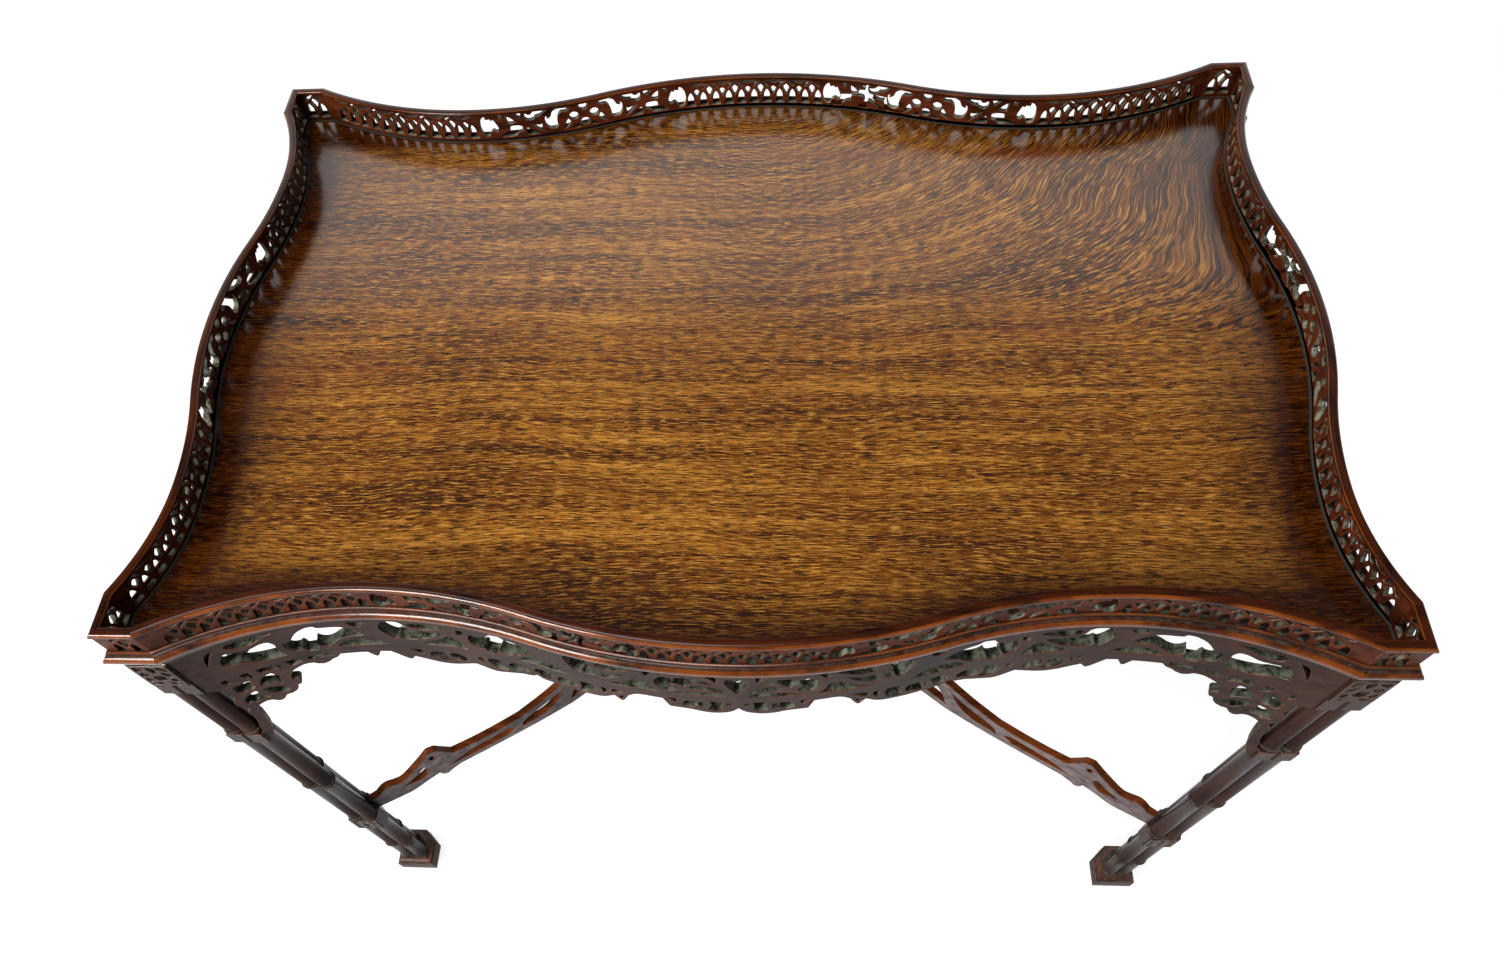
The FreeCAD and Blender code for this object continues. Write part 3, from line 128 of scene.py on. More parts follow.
BOSS_SEGMENTS = 56
ARM_END_LOW_SHARE = 0.28
ARM_END_HIGH_SHARE = 0.975
EDGE_EASE = 0.35
BEND_STEP = 8
SWEEP_STEP = 6
BOARD_STEP = 10
FLAT_WELD = 0.001
FLAT_CUT = 0.0001
END_NEAR = 0.01
MITRE_NEAR = 0.6
RIB_SWELL = 0.3
ARM_RIB_SWELL = 0.9


class Side:
    """A serpentine side seen as the back one: x runs along it and y points out of the table."""

    def __init__(self, along, out, bow_radius, crest, hollow_at, hollow_depth, end_radius, angle):
        self.along = along
        self.out = out
        self.bow_radius = bow_radius
        self.hollow_at = hollow_at
        self.end_radius = end_radius
        self.turn = 2 * math.atan(hollow_depth / hollow_at)
        self.hollow_radius = hollow_at / math.sin(self.turn) - bow_radius
        hollow_out = crest - hollow_depth
        self.bow_y = crest - bow_radius
        self.hollow_y = hollow_out + self.hollow_radius
        self.end_y = hollow_out + end_radius
        self.angle = math.radians(angle)

    def arcs(self, inset):
        """Lengths of half the bow and of the hollow beside it, at an inset."""
        return (self.bow_radius - inset) * self.turn, (self.hollow_radius + inset) * self.turn

    def kink(self, inset):
        """Where the curve at this inset meets the straight edge of the corner."""
        radius = self.end_radius + inset
        rise = self.end_y - (self.out - inset)
        return self.hollow_at + math.sqrt(radius ** 2 - rise ** 2)

    def reach(self, inset):
        """Length along the curve from the middle to the kink."""
        return self.path_to(self.kink(inset), inset)

    def path_to(self, x, inset):
        """Length along the curve from the middle to an x in the end hollow."""
        radius = self.end_radius + inset
        return sum(self.arcs(inset)) + radius * math.asin((x - self.hollow_at) / radius)

    def place(self, path, inset, drawn_inset):
        """The plan point at a length along the curve that was drawn at another inset."""
        bow, hollow = self.arcs(drawn_inset)
        way = abs(path)
        if way <= bow:
            turned = way / (self.bow_radius - drawn_inset)
            radius = self.bow_radius - inset
            x, y = radius * math.sin(turned), self.bow_y + radius * math.cos(turned)
        elif way <= bow + hollow:
            turned = (bow + hollow - way) / (self.hollow_radius + drawn_inset)
            radius = self.hollow_radius + inset
            x, y = self.hollow_at - radius * math.sin(turned), self.hollow_y - radius * math.cos(turned)
        else:
            turned = (way - bow - hollow) / (self.end_radius + drawn_inset)
            radius = self.end_radius + inset
            x, y = self.hollow_at + radius * math.sin(turned), self.end_y - radius * math.cos(turned)
        return math.copysign(x, path), y

    def stations(self, inset, step):
        """Plan points of the whole curve at an inset, the same number at every inset."""
        lengths = (*self.arcs(inset), self.reach(inset) - sum(self.arcs(inset)))
        wholes = (*self.arcs(0), self.reach(0) - sum(self.arcs(0)))
        half = [0]
        for length, whole in zip(lengths, wholes):
            count = max(2, round(whole / step))
            start = half[-1]
            half.extend(start + length * i / count for i in range(1, count + 1))
        paths = [-p for p in reversed(half[1:])] + half
        return [self.place(path, inset, inset) for path in paths]

    def turned(self, x, y):
        """A plan point of the back side, turned to this side of the table."""
        return (x * math.cos(self.angle) - y * math.sin(self.angle),
                x * math.sin(self.angle) + y * math.cos(self.angle))


def long_side(angle):
    return Side(HALF_LENGTH, HALF_DEPTH, LONG_BOW_RADIUS, HALF_DEPTH + LONG_CREST_OUT, LONG_HOLLOW_AT,
                LONG_HOLLOW_DEPTH, LONG_END_RADIUS, angle)


def short_side(angle):
    return Side(HALF_DEPTH, HALF_LENGTH, SHORT_BOW_RADIUS, HALF_LENGTH - SHORT_CREST_IN, SHORT_HOLLOW_AT,
                SHORT_HOLLOW_DEPTH, SHORT_END_RADIUS, angle)


SIDES = {
    "back": long_side(0),
    "right": short_side(-90),
    "front": long_side(180),
    "left": short_side(90),
}
CORNERS = {"br": (1, 1), "fr": (1, -1), "bl": (-1, 1), "fl": (-1, -1)}
LEG_TURNS = {"fl": 0, "fr": 90, "br": 180, "bl": 270}


def is_long(name):
    return name in ("back", "front")


# Meshes.
def new_piece(name, mesh, materials, node):
    """An object for a finished mesh, with its materials and the node that it stands for."""
    for material in materials:
        mesh.materials.append(material)
    piece = bpy.data.objects.new(name, mesh)
    bpy.context.scene.collection.objects.link(piece)
    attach(piece, "table")
    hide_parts(node)


def mesh_from(name, points, faces):
    """A mesh from points in millimetres."""
    mesh = bpy.data.meshes.new(name)
    mesh.from_pydata([tuple(c * MM for c in p) for p in points], [], faces)
    mesh.validate()
    return mesh


def finish_mesh(mesh, crease=32):
    """Shades smoothly except over creases, with every face turned outwards."""
    work = bmesh.new()
    work.from_mesh(mesh)
    bmesh.ops.remove_doubles(work, verts=work.verts, dist=WELD)
    bmesh.ops.dissolve_degenerate(work, edges=work.edges, dist=WELD)
    bmesh.ops.recalc_face_normals(work, faces=work.faces)
    work.to_mesh(mesh)
    work.free()
    for polygon in mesh.polygons:
        polygon.use_smooth = True
    mesh.set_sharp_from_angle(angle=math.radians(crease))
    return mesh


def smooth_run(points, steps=5):
    """Points along a smooth curve through the given ones, without the last."""
    if len(points) == 2:
        return [points[0]]
    ends = [tuple(2 * a - b for a, b in zip(points[0], points[1]))] + list(points)
    ends.append(tuple(2 * a - b for a, b in zip(points[-1], points[-2])))
    result = []
    for i in range(1, len(ends) - 2):
        before, start, stop, after = ends[i - 1:i + 3]
        for k in range(steps):
            t = k / steps
            result.append(tuple(
                0.5 * (2 * b + (c - a) * t + (2 * a - 5 * b + 4 * c - d) * t * t
                       + (3 * b - a - 3 * c + d) * t ** 3)
                for a, b, c, d in zip(before, start, stop, after)))
    return result


def outline(runs, place):
    """A closed outline from runs of points, as in the part's source."""
    return [point for run in runs for point in smooth_run([place(*pair) for pair in run])]


def eased(points, share=0.2, rounds=2):
    """A closed outline with its corners cut."""
    for _ in range(rounds):
        cut = []
        for i, start in enumerate(points):
            stop = points[(i + 1) % len(points)]
            cut.append(tuple(a + (b - a) * share for a, b in zip(start, stop)))
            cut.append(tuple(b + (a - b) * share for a, b in zip(start, stop)))
        points = cut
    return points


def ring(centre, radius_x, radius_z, count=20):
    return [(centre[0] + radius_x * math.cos(2 * math.pi * i / count),
             centre[1] + radius_z * math.sin(2 * math.pi * i / count)) for i in range(count)]


# Materials of a piece by index, and how far its flat faces and its arrises face along the axis.
FACE, ARRIS, WALL = 0, 1, 2
FACE_ABOVE, ARRIS_ABOVE = 0.9, 0.3


def pierced(name, loops, thickness, ease=EDGE_EASE, swell=0.0):
    """A flat board cut to loops: x along, y up and z through it. Faces, arrises and walls are told apart.

    A swell makes every opening smaller by that much all round.
    """
    curve = bpy.data.curves.new(name, "CURVE")
    curve.dimensions = "2D"
    curve.fill_mode = "BOTH"
    curve.extrude = thickness / 2 - ease
    curve.bevel_depth = ease
    curve.bevel_resolution = 0
    curve.offset = swell - ease
    for loop in loops:
        spline = curve.splines.new("POLY")
        spline.points.add(len(loop) - 1)
        for point, (x, y) in zip(spline.points, loop):
            point.co = (x, y, 0, 1)
        spline.use_cyclic_u = True
    holder = bpy.data.objects.new(name, curve)
    mesh = bpy.data.meshes.new_from_object(holder)
    bpy.data.objects.remove(holder)
    bpy.data.curves.remove(curve)
    for polygon in mesh.polygons:
        facing = abs(polygon.normal.z)
        polygon.material_index = FACE if facing > FACE_ABOVE else ARRIS if facing > ARRIS_ABOVE else WALL
    return mesh


def cut_through(work, point, normal, clear=False):
    """Cuts a flat mesh along a plane and gives back what lies on the cut."""
    return bmesh.ops.bisect_plane(
        work, geom=work.verts[:] + work.edges[:] + work.faces[:], dist=FLAT_CUT,
        plane_co=point, plane_no=normal, clear_outer=clear)["geom_cut"]


def bent(mesh, side, inset, thickness):
    """Bends a flat board along a side: its outer face ends up at the inset."""
    work = bmesh.new()
    work.from_mesh(mesh)
    bmesh.ops.remove_doubles(work, verts=work.verts, dist=FLAT_WELD)
    reach = side.reach(inset)
    count = int(reach / BEND_STEP)
    for step in range(-count, count + 1):
        cut_through(work, (step * BEND_STEP, 0, 0), (1, 0, 0))
    for vertex in work.verts:
        path, level, depth = vertex.co
        own_inset = inset + thickness / 2 - depth
        if abs(abs(path) - reach) < END_NEAR:
            x, y = math.copysign(side.kink(own_inset), path), side.out - own_inset
        else:
            x, y = side.place(path, own_inset, inset)
        x, y = side.turned(x, y)
        vertex.co = (x * MM, y * MM, level * MM)
    work.to_mesh(mesh)
    work.free()
    return finish_mesh(mesh)


def bridged(rows):
    """Faces over rows of points, capped at both ends; each row is a closed section."""
    width = len(rows[0])
    points = [point for row in rows for point in row]
    faces = []
    for start in range(0, len(points) - width, width):
        for c in range(width):
            d = (c + 1) % width
            faces.append((start + c, start + d, start + width + d, start + width + c))
    faces.append(tuple(range(width)))
    faces.append(tuple(range(len(points) - 1, len(points) - width - 1, -1)))
    return points, faces


def mark_arrises(mesh, section, worn_and_lit):
    """Gives the arris material to the steps of a swept section that show wear and a painted highlight."""
    for polygon in mesh.polygons:
        if polygon.index % len(section) in worn_and_lit and len(polygon.vertices) == 4:
            polygon.material_index = ARRIS
    return mesh


def swept(name, side, section, worn_and_lit):
    """A section of (inset, level) pairs along a whole side, mitred at both ends."""
    columns = []
    for inset, level in section:
        columns.append([side.turned(x, y) + (level,) for x, y in side.stations(inset, SWEEP_STEP)])
    rows = [list(row) for row in zip(*columns)]
    return finish_mesh(mark_arrises(mesh_from(name, *bridged(rows)), section, worn_and_lit))


def swept_corner(name, section, along_x, along_y, worn_and_lit):
    """The same section round a corner, between the mitres of two sides."""
    across, ahead = SIDES["back"], SIDES["right"]
    rows = ([], [], [])
    for inset, level in section:
        rows[0].append((along_x * across.kink(inset), along_y * (HALF_DEPTH - inset), level))
        rows[1].append((along_x * (HALF_LENGTH - inset), along_y * (HALF_DEPTH - inset), level))
        rows[2].append((along_x * (HALF_LENGTH - inset), along_y * ahead.kink(inset), level))
    return finish_mesh(mark_arrises(mesh_from(name, *bridged(rows)), section, worn_and_lit))


def joined_mesh(name, meshes):
    """Several meshes as one, each still separate solids."""
    work = bmesh.new()
    for mesh in meshes:
        work.from_mesh(mesh)
    result = bpy.data.meshes.new(name)
    work.to_mesh(result)
    work.free()
    for mesh in meshes:
        bpy.data.meshes.remove(mesh)
    return result


def lathe(profile, centre, segments=40):
    """A turned shape from (radius, level) pairs about an upright axis; it starts and ends at radius 0."""
    rows = []
    for radius, level in profile:
        rows.append([(centre[0] + radius * math.cos(2 * math.pi * i / segments),
                      centre[1] + radius * math.sin(2 * math.pi * i / segments), level)
                     for i in range(segments)])
    return bridged(rows)


def stacked(sections):
    """A shape through level sections of the same number of points."""
    return bridged([[(x, y, level) for x, y in points] for points, level in sections])


def block_plan(half, chamfer, groove=0):
    """A square with its inner corner cut off and a groove down each outer face."""
    points = [(-half, -half)]
    if groove:
        points += [(-groove, -half), (0, groove - half), (groove, -half)]
    points += [(half, -half), (half, half - chamfer), (half - chamfer, half), (-half, half)]
    if groove:
        points += [(-half, groove), (groove - half, 0), (-half, -groove)]
    return points


def at_leg(mesh, corner):
    """Turns a mesh drawn about a leg's axis and stands it at that leg."""
    along_x, along_y = CORNERS[corner]
    move = Matrix.Translation((along_x * LEG_X * MM, along_y * LEG_Y * MM, 0))
    mesh.transform(move @ Matrix.Rotation(math.radians(LEG_TURNS[corner]), 4, "Z"))
    return mesh


def symmetric(half):
    """A closed outline from its right half."""
    return half + tuple((-x, z) for x, z in reversed(half) if x)


# Outlines, from the part's source, as shares of each piece's own length and height.
APRON_LOW_SHARES = (
    ((0, 0.2), (0.017, 0.118), (0.05, 0.071), (0.084, 0.082), (0.117, 0.129), (0.166, 0.153)),
    ((0.166, 0.153), (0.18, 0.329)),
    ((0.18, 0.329), (0.236, 0.341), (0.264, 0.259)),
    ((0.264, 0.259), (0.285, 0.094), (0.303, 0.188)),
    ((0.303, 0.188), (0.34, 0.082), (0.405, 0.059)),
    ((0.405, 0.059), (0.457, 0.071), (0.492, 0.082), (0.509, 0.141)),
    ((0.509, 0.141), (0.523, 0.094), (0.552, 0.071)),
    ((0.552, 0.071), (0.594, 0.012), (0.631, -0.012), (0.674, 0.094)),
    ((0.674, 0.094), (0.729, 0.024), (0.771, 0.035), (0.828, 0.153)),
    ((0.828, 0.153), (0.846, 0.094), (0.88, 0.271)),
    ((0.88, 0.271), (0.905, 0.282)),
    ((0.905, 0.282), (0.922, 0.176), (0.939, 0.282)),
    ((0.939, 0.282), (1, 0.3)),
    ((1, 0.3), (1, 0.3)),
)
# Openings of the long apron, in millimetres: along from the middle and up from the floor, each drawn on
# one half and repeated mirrored on the other. On the short sides their lengths shrink with the apron.
HEART = symmetric(((0, 661), (5, 665.5), (9, 663), (10, 657.5), (7, 649.5), (3, 641), (0, 636.5)))
APRON_HOLES = (
    ((15.5, 669), (24.5, 669.2), (21, 665), (18, 661), (16, 657.5), (15.3, 663)),
    ((16.6, 653.4), (24.7, 659.4), (31.9, 662.9), (40, 664.2), (47.3, 662.7), (52.1, 660.3), (55.3, 662.6),
     (60.2, 661), (64.2, 655.8), (66.1, 648.5), (64.2, 641.8), (59.4, 638.1), (54.5, 637.3), (49.7, 638.7),
     (47.6, 642.1), (48.9, 645.5), (52.4, 647.3), (52.6, 650.3), (49.4, 652.1), (45.3, 651), (42.4, 647.7),
     (40.3, 648.1), (38.4, 651), (35.6, 653.9), (30.6, 655.8), (24.7, 654.5)),
    ((9.4, 640.5), (17.4, 647.7), (27.1, 650.5), (34.4, 649.7), (36.8, 646.9), (36.8, 643.7), (28.7, 641.6),
     (20.6, 641.3), (11, 637.7)),
    ((9.4, 633.2), (14.2, 637.3), (22.3, 638.9), (31.9, 638.4), (41.6, 637.3), (46.5, 635.6), (52, 633.2),
     (52.1, 631.9), (38.4, 632.4), (22.3, 631.6), (11, 631.1)),
    ((71.9, 647.7), (74.2, 649), (77.9, 648.4), (81.1, 651), (83.5, 648.5), (88.4, 643.7), (94.8, 638.5),
     (102.9, 634), (108.5, 632.1), (86.8, 631.9), (61, 631.3), (67.4, 635.6), (70.6, 640.5)),
    ((63.4, 668.4), (73, 668), (73.5, 663.9), (70.6, 659), (67.4, 663)),
    ((80.3, 666.3), (77.9, 668.4), (90, 670.6), (106.1, 670.3), (110.2, 668.7), (109.4, 665.5),
     (113.4, 663.9), (111, 659.8), (102.9, 657.4), (94.8, 659), (86.8, 662.6)),
    ((84.4, 657.1), (94.8, 652.3), (104.5, 650.5), (113.4, 653.4), (119, 659.8), (119.8, 666.3), (118.5, 670),
     (133.5, 670.3), (136, 666.3), (140, 661.9), (138.7, 655), (136, 647.7), (132.7, 641.6), (127.9, 640.3),
     (125.2, 643.7), (123.5, 641.6), (115.8, 642.1), (108.5, 640.5), (101.3, 643.2), (93.2, 648.5)),
    ((150.5, 669.5), (167.4, 667.9), (163.4, 662.3), (157.7, 660.6), (152.9, 663.9)),
    ((163.9, 648.1), (171.5, 655.8), (181.9, 660.3), (191.6, 662.3), (193.5, 665.8), (203.2, 664.8),
     (204.8, 660.6), (215.5, 653.7), (220.3, 658.7), (224.7, 651), (225.2, 643.2), (222.3, 636.1),
     (216.6, 634), (214.2, 637.7), (212.3, 633.2), (216.6, 629.7), (206.9, 627.6), (202.9, 630.8),
     (201, 637.7), (198.1, 633.5), (192.4, 632.1), (186, 634), (180.3, 639.7), (173.9, 645.3)),
    ((140, 630), (148, 635.6), (157.7, 639.7), (169, 640), (177.1, 637.3), (182.7, 631.6), (186, 627.6),
     (167.4, 627.6), (151.3, 628.1), (142, 628.7)),
    ((229.8, 628.4), (234.7, 641.3), (237.9, 647.7), (242.7, 648.5), (249.2, 642.1), (257.3, 637.3),
     (267.7, 632.4), (267.7, 629.7), (244.4, 629.2), (231.5, 626.8)),
    ((226, 663), (231.5, 662.3), (233, 655.8), (229.8, 653.4), (226, 657)),
    ((239.5, 663.9), (246, 666.3), (271.8, 666.3), (271.8, 662.3), (267.7, 658.2), (258.9, 656.6),
     (249.2, 659), (242.7, 661.9)),
    ((244.4, 653.4), (254, 652.3), (263.7, 653.4), (271, 655.8), (275.3, 661), (276.3, 665.8), (280.6, 669),
     (292.7, 669), (294.7, 663.9), (298.4, 658.2), (297.6, 651), (294, 643.2), (289.5, 637.7), (286, 641.3),
     (283.4, 637.7), (271.8, 637.7), (267.3, 640.5), (259.7, 640.5), (251.6, 645.8)),
    ((305.6, 668.4), (321.8, 669.5), (318.5, 663), (312.9, 659.8), (308.9, 663.9)),
    ((297.6, 628.4), (304, 633.2), (310.5, 637.7), (320.2, 639.7), (328.2, 638.9), (336.3, 634.8),
     (343.5, 629.7), (320, 628.1)),
    ((312.9, 645.3), (315.6, 651.3), (321.8, 659), (329, 662.9), (346, 664.2), (347.3, 667.9), (354, 667.4),
     (362.1, 663.1), (366.9, 658.7), (373.1, 650.2), (379.8, 649.4), (381.8, 645.3), (379.8, 637.7),
     (375.8, 633.2), (371, 633.5), (368.5, 636.8), (366.6, 631.6), (367.7, 628.7), (358, 628.1),
     (356, 632.9), (356, 640.5), (353.2, 635.2), (348.4, 633.2), (342.7, 635.6), (336.3, 641.3),
     (328.2, 644.8), (320.2, 645.3)),
    ((386, 650.6), (389, 657.1), (396, 656.6), (404.8, 652.9), (416.1, 654.5), (424.7, 657.7), (428.5, 653.4),
     (433.4, 645.8), (432.3, 640), (416.9, 636.5), (412.9, 633.2), (402.4, 630.3), (386, 629.9), (383.5, 631),
     (386.5, 636.5), (387, 644.2)),
    ((378.2, 669), (415.3, 670), (421, 666.3), (418.5, 663), (410.5, 659.4), (402.4, 659.4), (394.4, 662.6),
     (386.3, 667.9)),
    ((428.5, 667), (436.3, 665.5), (440.3, 655.8), (441.9, 647), (438.2, 653.4), (432.3, 662.3)),
    ((5, 616), (8.4, 618.5), (9.2, 615), (9.2, 611.5), (7.6, 612.5), (5.6, 611)),
    ((12, 620.4), (24.7, 620), (22, 615.5), (22.3, 609), (25.5, 603.8), (21.5, 600.6), (15.8, 601),
     (12.2, 603.4), (13, 609), (12.4, 615)),
    ((33.5, 619), (41.6, 619), (45.6, 614), (45.6, 607.4), (41.5, 604.5), (37.4, 604.2), (35.6, 608),
     (33.4, 610.4), (31.1, 608.4), (28.2, 608.4), (27.2, 613), (29, 617.1)),
    ((49.7, 621), (59.4, 621.6), (53.7, 617.1), (51.3, 611.5)),
    ((90.8, 620.6), (105.3, 620), (106.1, 610.6), (101.3, 613), (96.5, 616.3)),
    ((95.4, 610), (98.9, 608.2), (100.4, 604.6), (98.4, 602.2), (96.6, 605.4)),
    ((110.2, 617.9), (114.2, 618.7), (115, 615.5), (113.4, 610.6), (115, 605), (111.8, 607.4),
     (109.4, 612.3)),
    ((119, 619), (136, 619), (132.7, 613.9), (133.5, 607.4), (135.4, 601), (134, 599), (128.7, 599.8),
     (120.6, 602.6), (122.3, 606), (118.5, 611), (121, 615)),
    ((143.2, 615.8), (151.3, 615.5), (155.4, 609), (155.6, 602.6), (151.3, 599.4), (147.3, 601),
     (144.8, 604.2), (141.6, 602.6), (138, 604.2), (136.8, 610.6), (139, 614.7)),
    ((157.6, 616.3), (172.3, 617.9), (174.7, 613.9), (176.9, 609), (171, 605), (171.6, 602.4), (166.6, 600),
     (161.8, 602.6), (161, 609), (157.6, 613.9)),
    ((186, 615.5), (194.8, 615.8), (199.7, 610.6), (200.5, 604.2), (196.5, 600.8), (190.6, 600),
     (190.8, 602.6), (183.5, 604.2), (180.8, 604.8), (181.1, 610.6)),
    ((203.8, 615.5), (215, 615.5), (219, 610.6), (217.4, 604.2), (215.8, 599.4), (212.6, 596.1), (204, 595.8),
     (200.5, 598), (204.5, 602.6), (204.8, 609)),
    ((222.6, 614.6), (226.3, 613.9), (227.1, 608), (224.2, 607), (222.2, 604.6), (222.4, 609)),
    ((241.9, 614.7), (249.2, 615.5), (252.4, 610.6), (251.6, 605), (247.6, 601.8), (245.2, 602.6),
     (240.3, 599.8), (237.1, 602.6), (237.9, 609)),
    ((256.2, 614.7), (264.5, 615.5), (268.5, 612.3), (271, 607.4), (267.7, 602.6), (263.7, 599.4),
     (257.3, 597.4), (253.4, 598.6), (255.6, 604.2), (256.4, 609)),
    ((273.4, 615.5), (276.6, 617.9), (286.3, 619), (281.5, 615.5), (278.2, 610.6), (275, 609.5)),
)

# Brackets, in millimetres: away from the leg and up from the floor. Notches under the apron's rail let
# light through between small spindles.
RAIL_NOTCHES = ((15, 20), (31, 38), (45, 63), (70, 82), (88, 110))
NOTCH_TOP = 620.5
BRACKET_EDGE = (
    (116, RAIL_UNDER), (111, 609.5), (105, 607), (102, 604), (96, 601.5), (91, 603.5), (88, 607), (81, 607.3),
    (73, 603.8), (66.5, 600), (62.5, 593), (61, 586), (66.5, 584), (67, 580), (65, 576), (61.5, 575.5),
    (59, 569), (56, 566), (51, 563.8), (47, 564.5), (44.5, 562), (43, 559.5), (39, 557.5), (35.5, 559.5),
    (33, 563.5), (29, 565), (24, 564), (20, 562), (17.5, 558.5), (15, 555), (15.5, 544), (14, 532),
    (12, 519), (8, 507), (4, 500), (0, 497), (0, 516), (2.8, 518.5), (3.2, 524), (6, 534), (9, 550), (7, 555),
    (12, 563), (10, 566), (6.5, 574), (7, 581), (11.5, 590), (8, 596), (9, 601), (8.5, 606), (3, 610),
    (0, 612), (0, RAIL_UNDER),
)
BRACKET_TOP = (
    (15, RAIL_UNDER), (15.5, 612.4), (19.5, 612), (20, RAIL_UNDER), (31, RAIL_UNDER), (31.5, 611.2),
    (35, 610.6), (37.5, 607.6), (38, RAIL_UNDER), (45, RAIL_UNDER), (45.5, 611), (51, 612), (59, 611.2),
    (62.5, 608), (63, RAIL_UNDER), (70, RAIL_UNDER), (70.5, 609.4), (76, 611.2), (81.5, 613),
    (82, RAIL_UNDER), (88, RAIL_UNDER), (88.5, 613), (109.5, 613), (110, RAIL_UNDER),
)
BRACKET_HOLES = (
    ((52, 607), (47, 606), (42, 603), (38, 598), (35.5, 592), (41, 591.5), (47, 588.5), (52, 584.5),
     (53, 590), (54.5, 596), (56, 599), (53, 601)),
    ((34, 586.5), (35, 581), (38, 575), (43, 570.5), (48, 568.8), (52, 570.5), (53.5, 573.5), (51, 579),
     (46, 583), (40, 585.5)),
    ((32, 605.5), (27, 606), (24, 605), (21, 606), (17, 604.5), (16, 601), (17.5, 599), (16, 596),
     (16.5, 592), (21, 590.5), (24, 592), (28, 590.5), (31.5, 593), (32, 597), (30.5, 600), (33, 603)),
    ((29, 587), (25, 586), (21, 584.5), (16, 580), (13.5, 575), (14.5, 571), (18, 571), (21, 568), (26, 570),
     (32, 569.5), (35, 570), (31.5, 575), (29.5, 581)),
)
ARM_SHARES = (
    ((-0.012, 0.068), (-0.012, 0.288)),
    ((-0.012, 0.288), (0.01, 0.3)),
    ((0.01, 0.3), (0.024, 0.356), (0.039, 0.373), (0.054, 0.339)),
    ((0.054, 0.339), (0.074, 0.331), (0.117, 0.466), (0.15, 0.593)),
    ((0.15, 0.593), (0.167, 0.568), (0.176, 0.5), (0.195, 0.347)),
    ((0.195, 0.347), (0.247, 0.315), (0.3, 0.305), (0.358, 0.315)),
    ((0.358, 0.315), (0.423, 0.415), (0.475, 0.525), (0.525, 0.636)),
    ((0.525, 0.636), (0.637, 0.856), (0.767, 0.958), (0.878, 0.975), (1, 0.975)),
    ((1, 0.975), (1, 0.28)),
    ((1, 0.28), (0.859, 0.28), (0.711, 0.212), (0.581, 0.127), (0.479, 0.008)),
    ((0.479, 0.008), (0.399, -0.008), (0.321, 0)),
    ((0.321, 0), (0.256, 0.015), (0.191, 0.034)),
    ((0.191, 0.034), (0.167, 0), (0.156, -0.025), (0.145, 0.008), (0.141, 0.076)),
    ((0.141, 0.076), (0.111, 0.051), (0.074, 0.008), (0.039, 0.025), (-0.012, 0.068)),
)
ARM_HOLE_SHARES = (
    (((0.061, 0.212), (0.091, 0.263), (0.124, 0.364)),
     ((0.124, 0.364), (0.132, 0.28), (0.106, 0.153), (0.061, 0.212))),
    (((0.141, 0.466), (0.15, 0.517), (0.159, 0.466)), ((0.159, 0.466), (0.15, 0.415), (0.141, 0.466))),
    (((0.173, 0.127), (0.228, 0.209), (0.321, 0.219)), ((0.321, 0.219), (0.335, 0.151), (0.312, 0.086)),
     ((0.312, 0.086), (0.247, 0.093), (0.173, 0.127))),
    (((0.351, 0.093), (0.366, 0.209), (0.433, 0.331), (0.48, 0.432)),
     ((0.48, 0.432), (0.455, 0.249), (0.414, 0.122), (0.351, 0.093))),
    (((0.479, 0.11), (0.507, 0.381), (0.581, 0.619), (0.637, 0.72)),
     ((0.637, 0.72), (0.618, 0.466), (0.562, 0.246), (0.479, 0.11))),
    (((0.622, 0.28), (0.659, 0.636), (0.767, 0.856)),
     ((0.767, 0.856), (0.757, 0.585), (0.711, 0.347), (0.622, 0.28))),
    (((0.757, 0.364), (0.785, 0.653), (0.832, 0.873), (0.897, 0.89)),
     ((0.897, 0.89), (0.878, 0.619), (0.832, 0.398), (0.757, 0.364))),
)

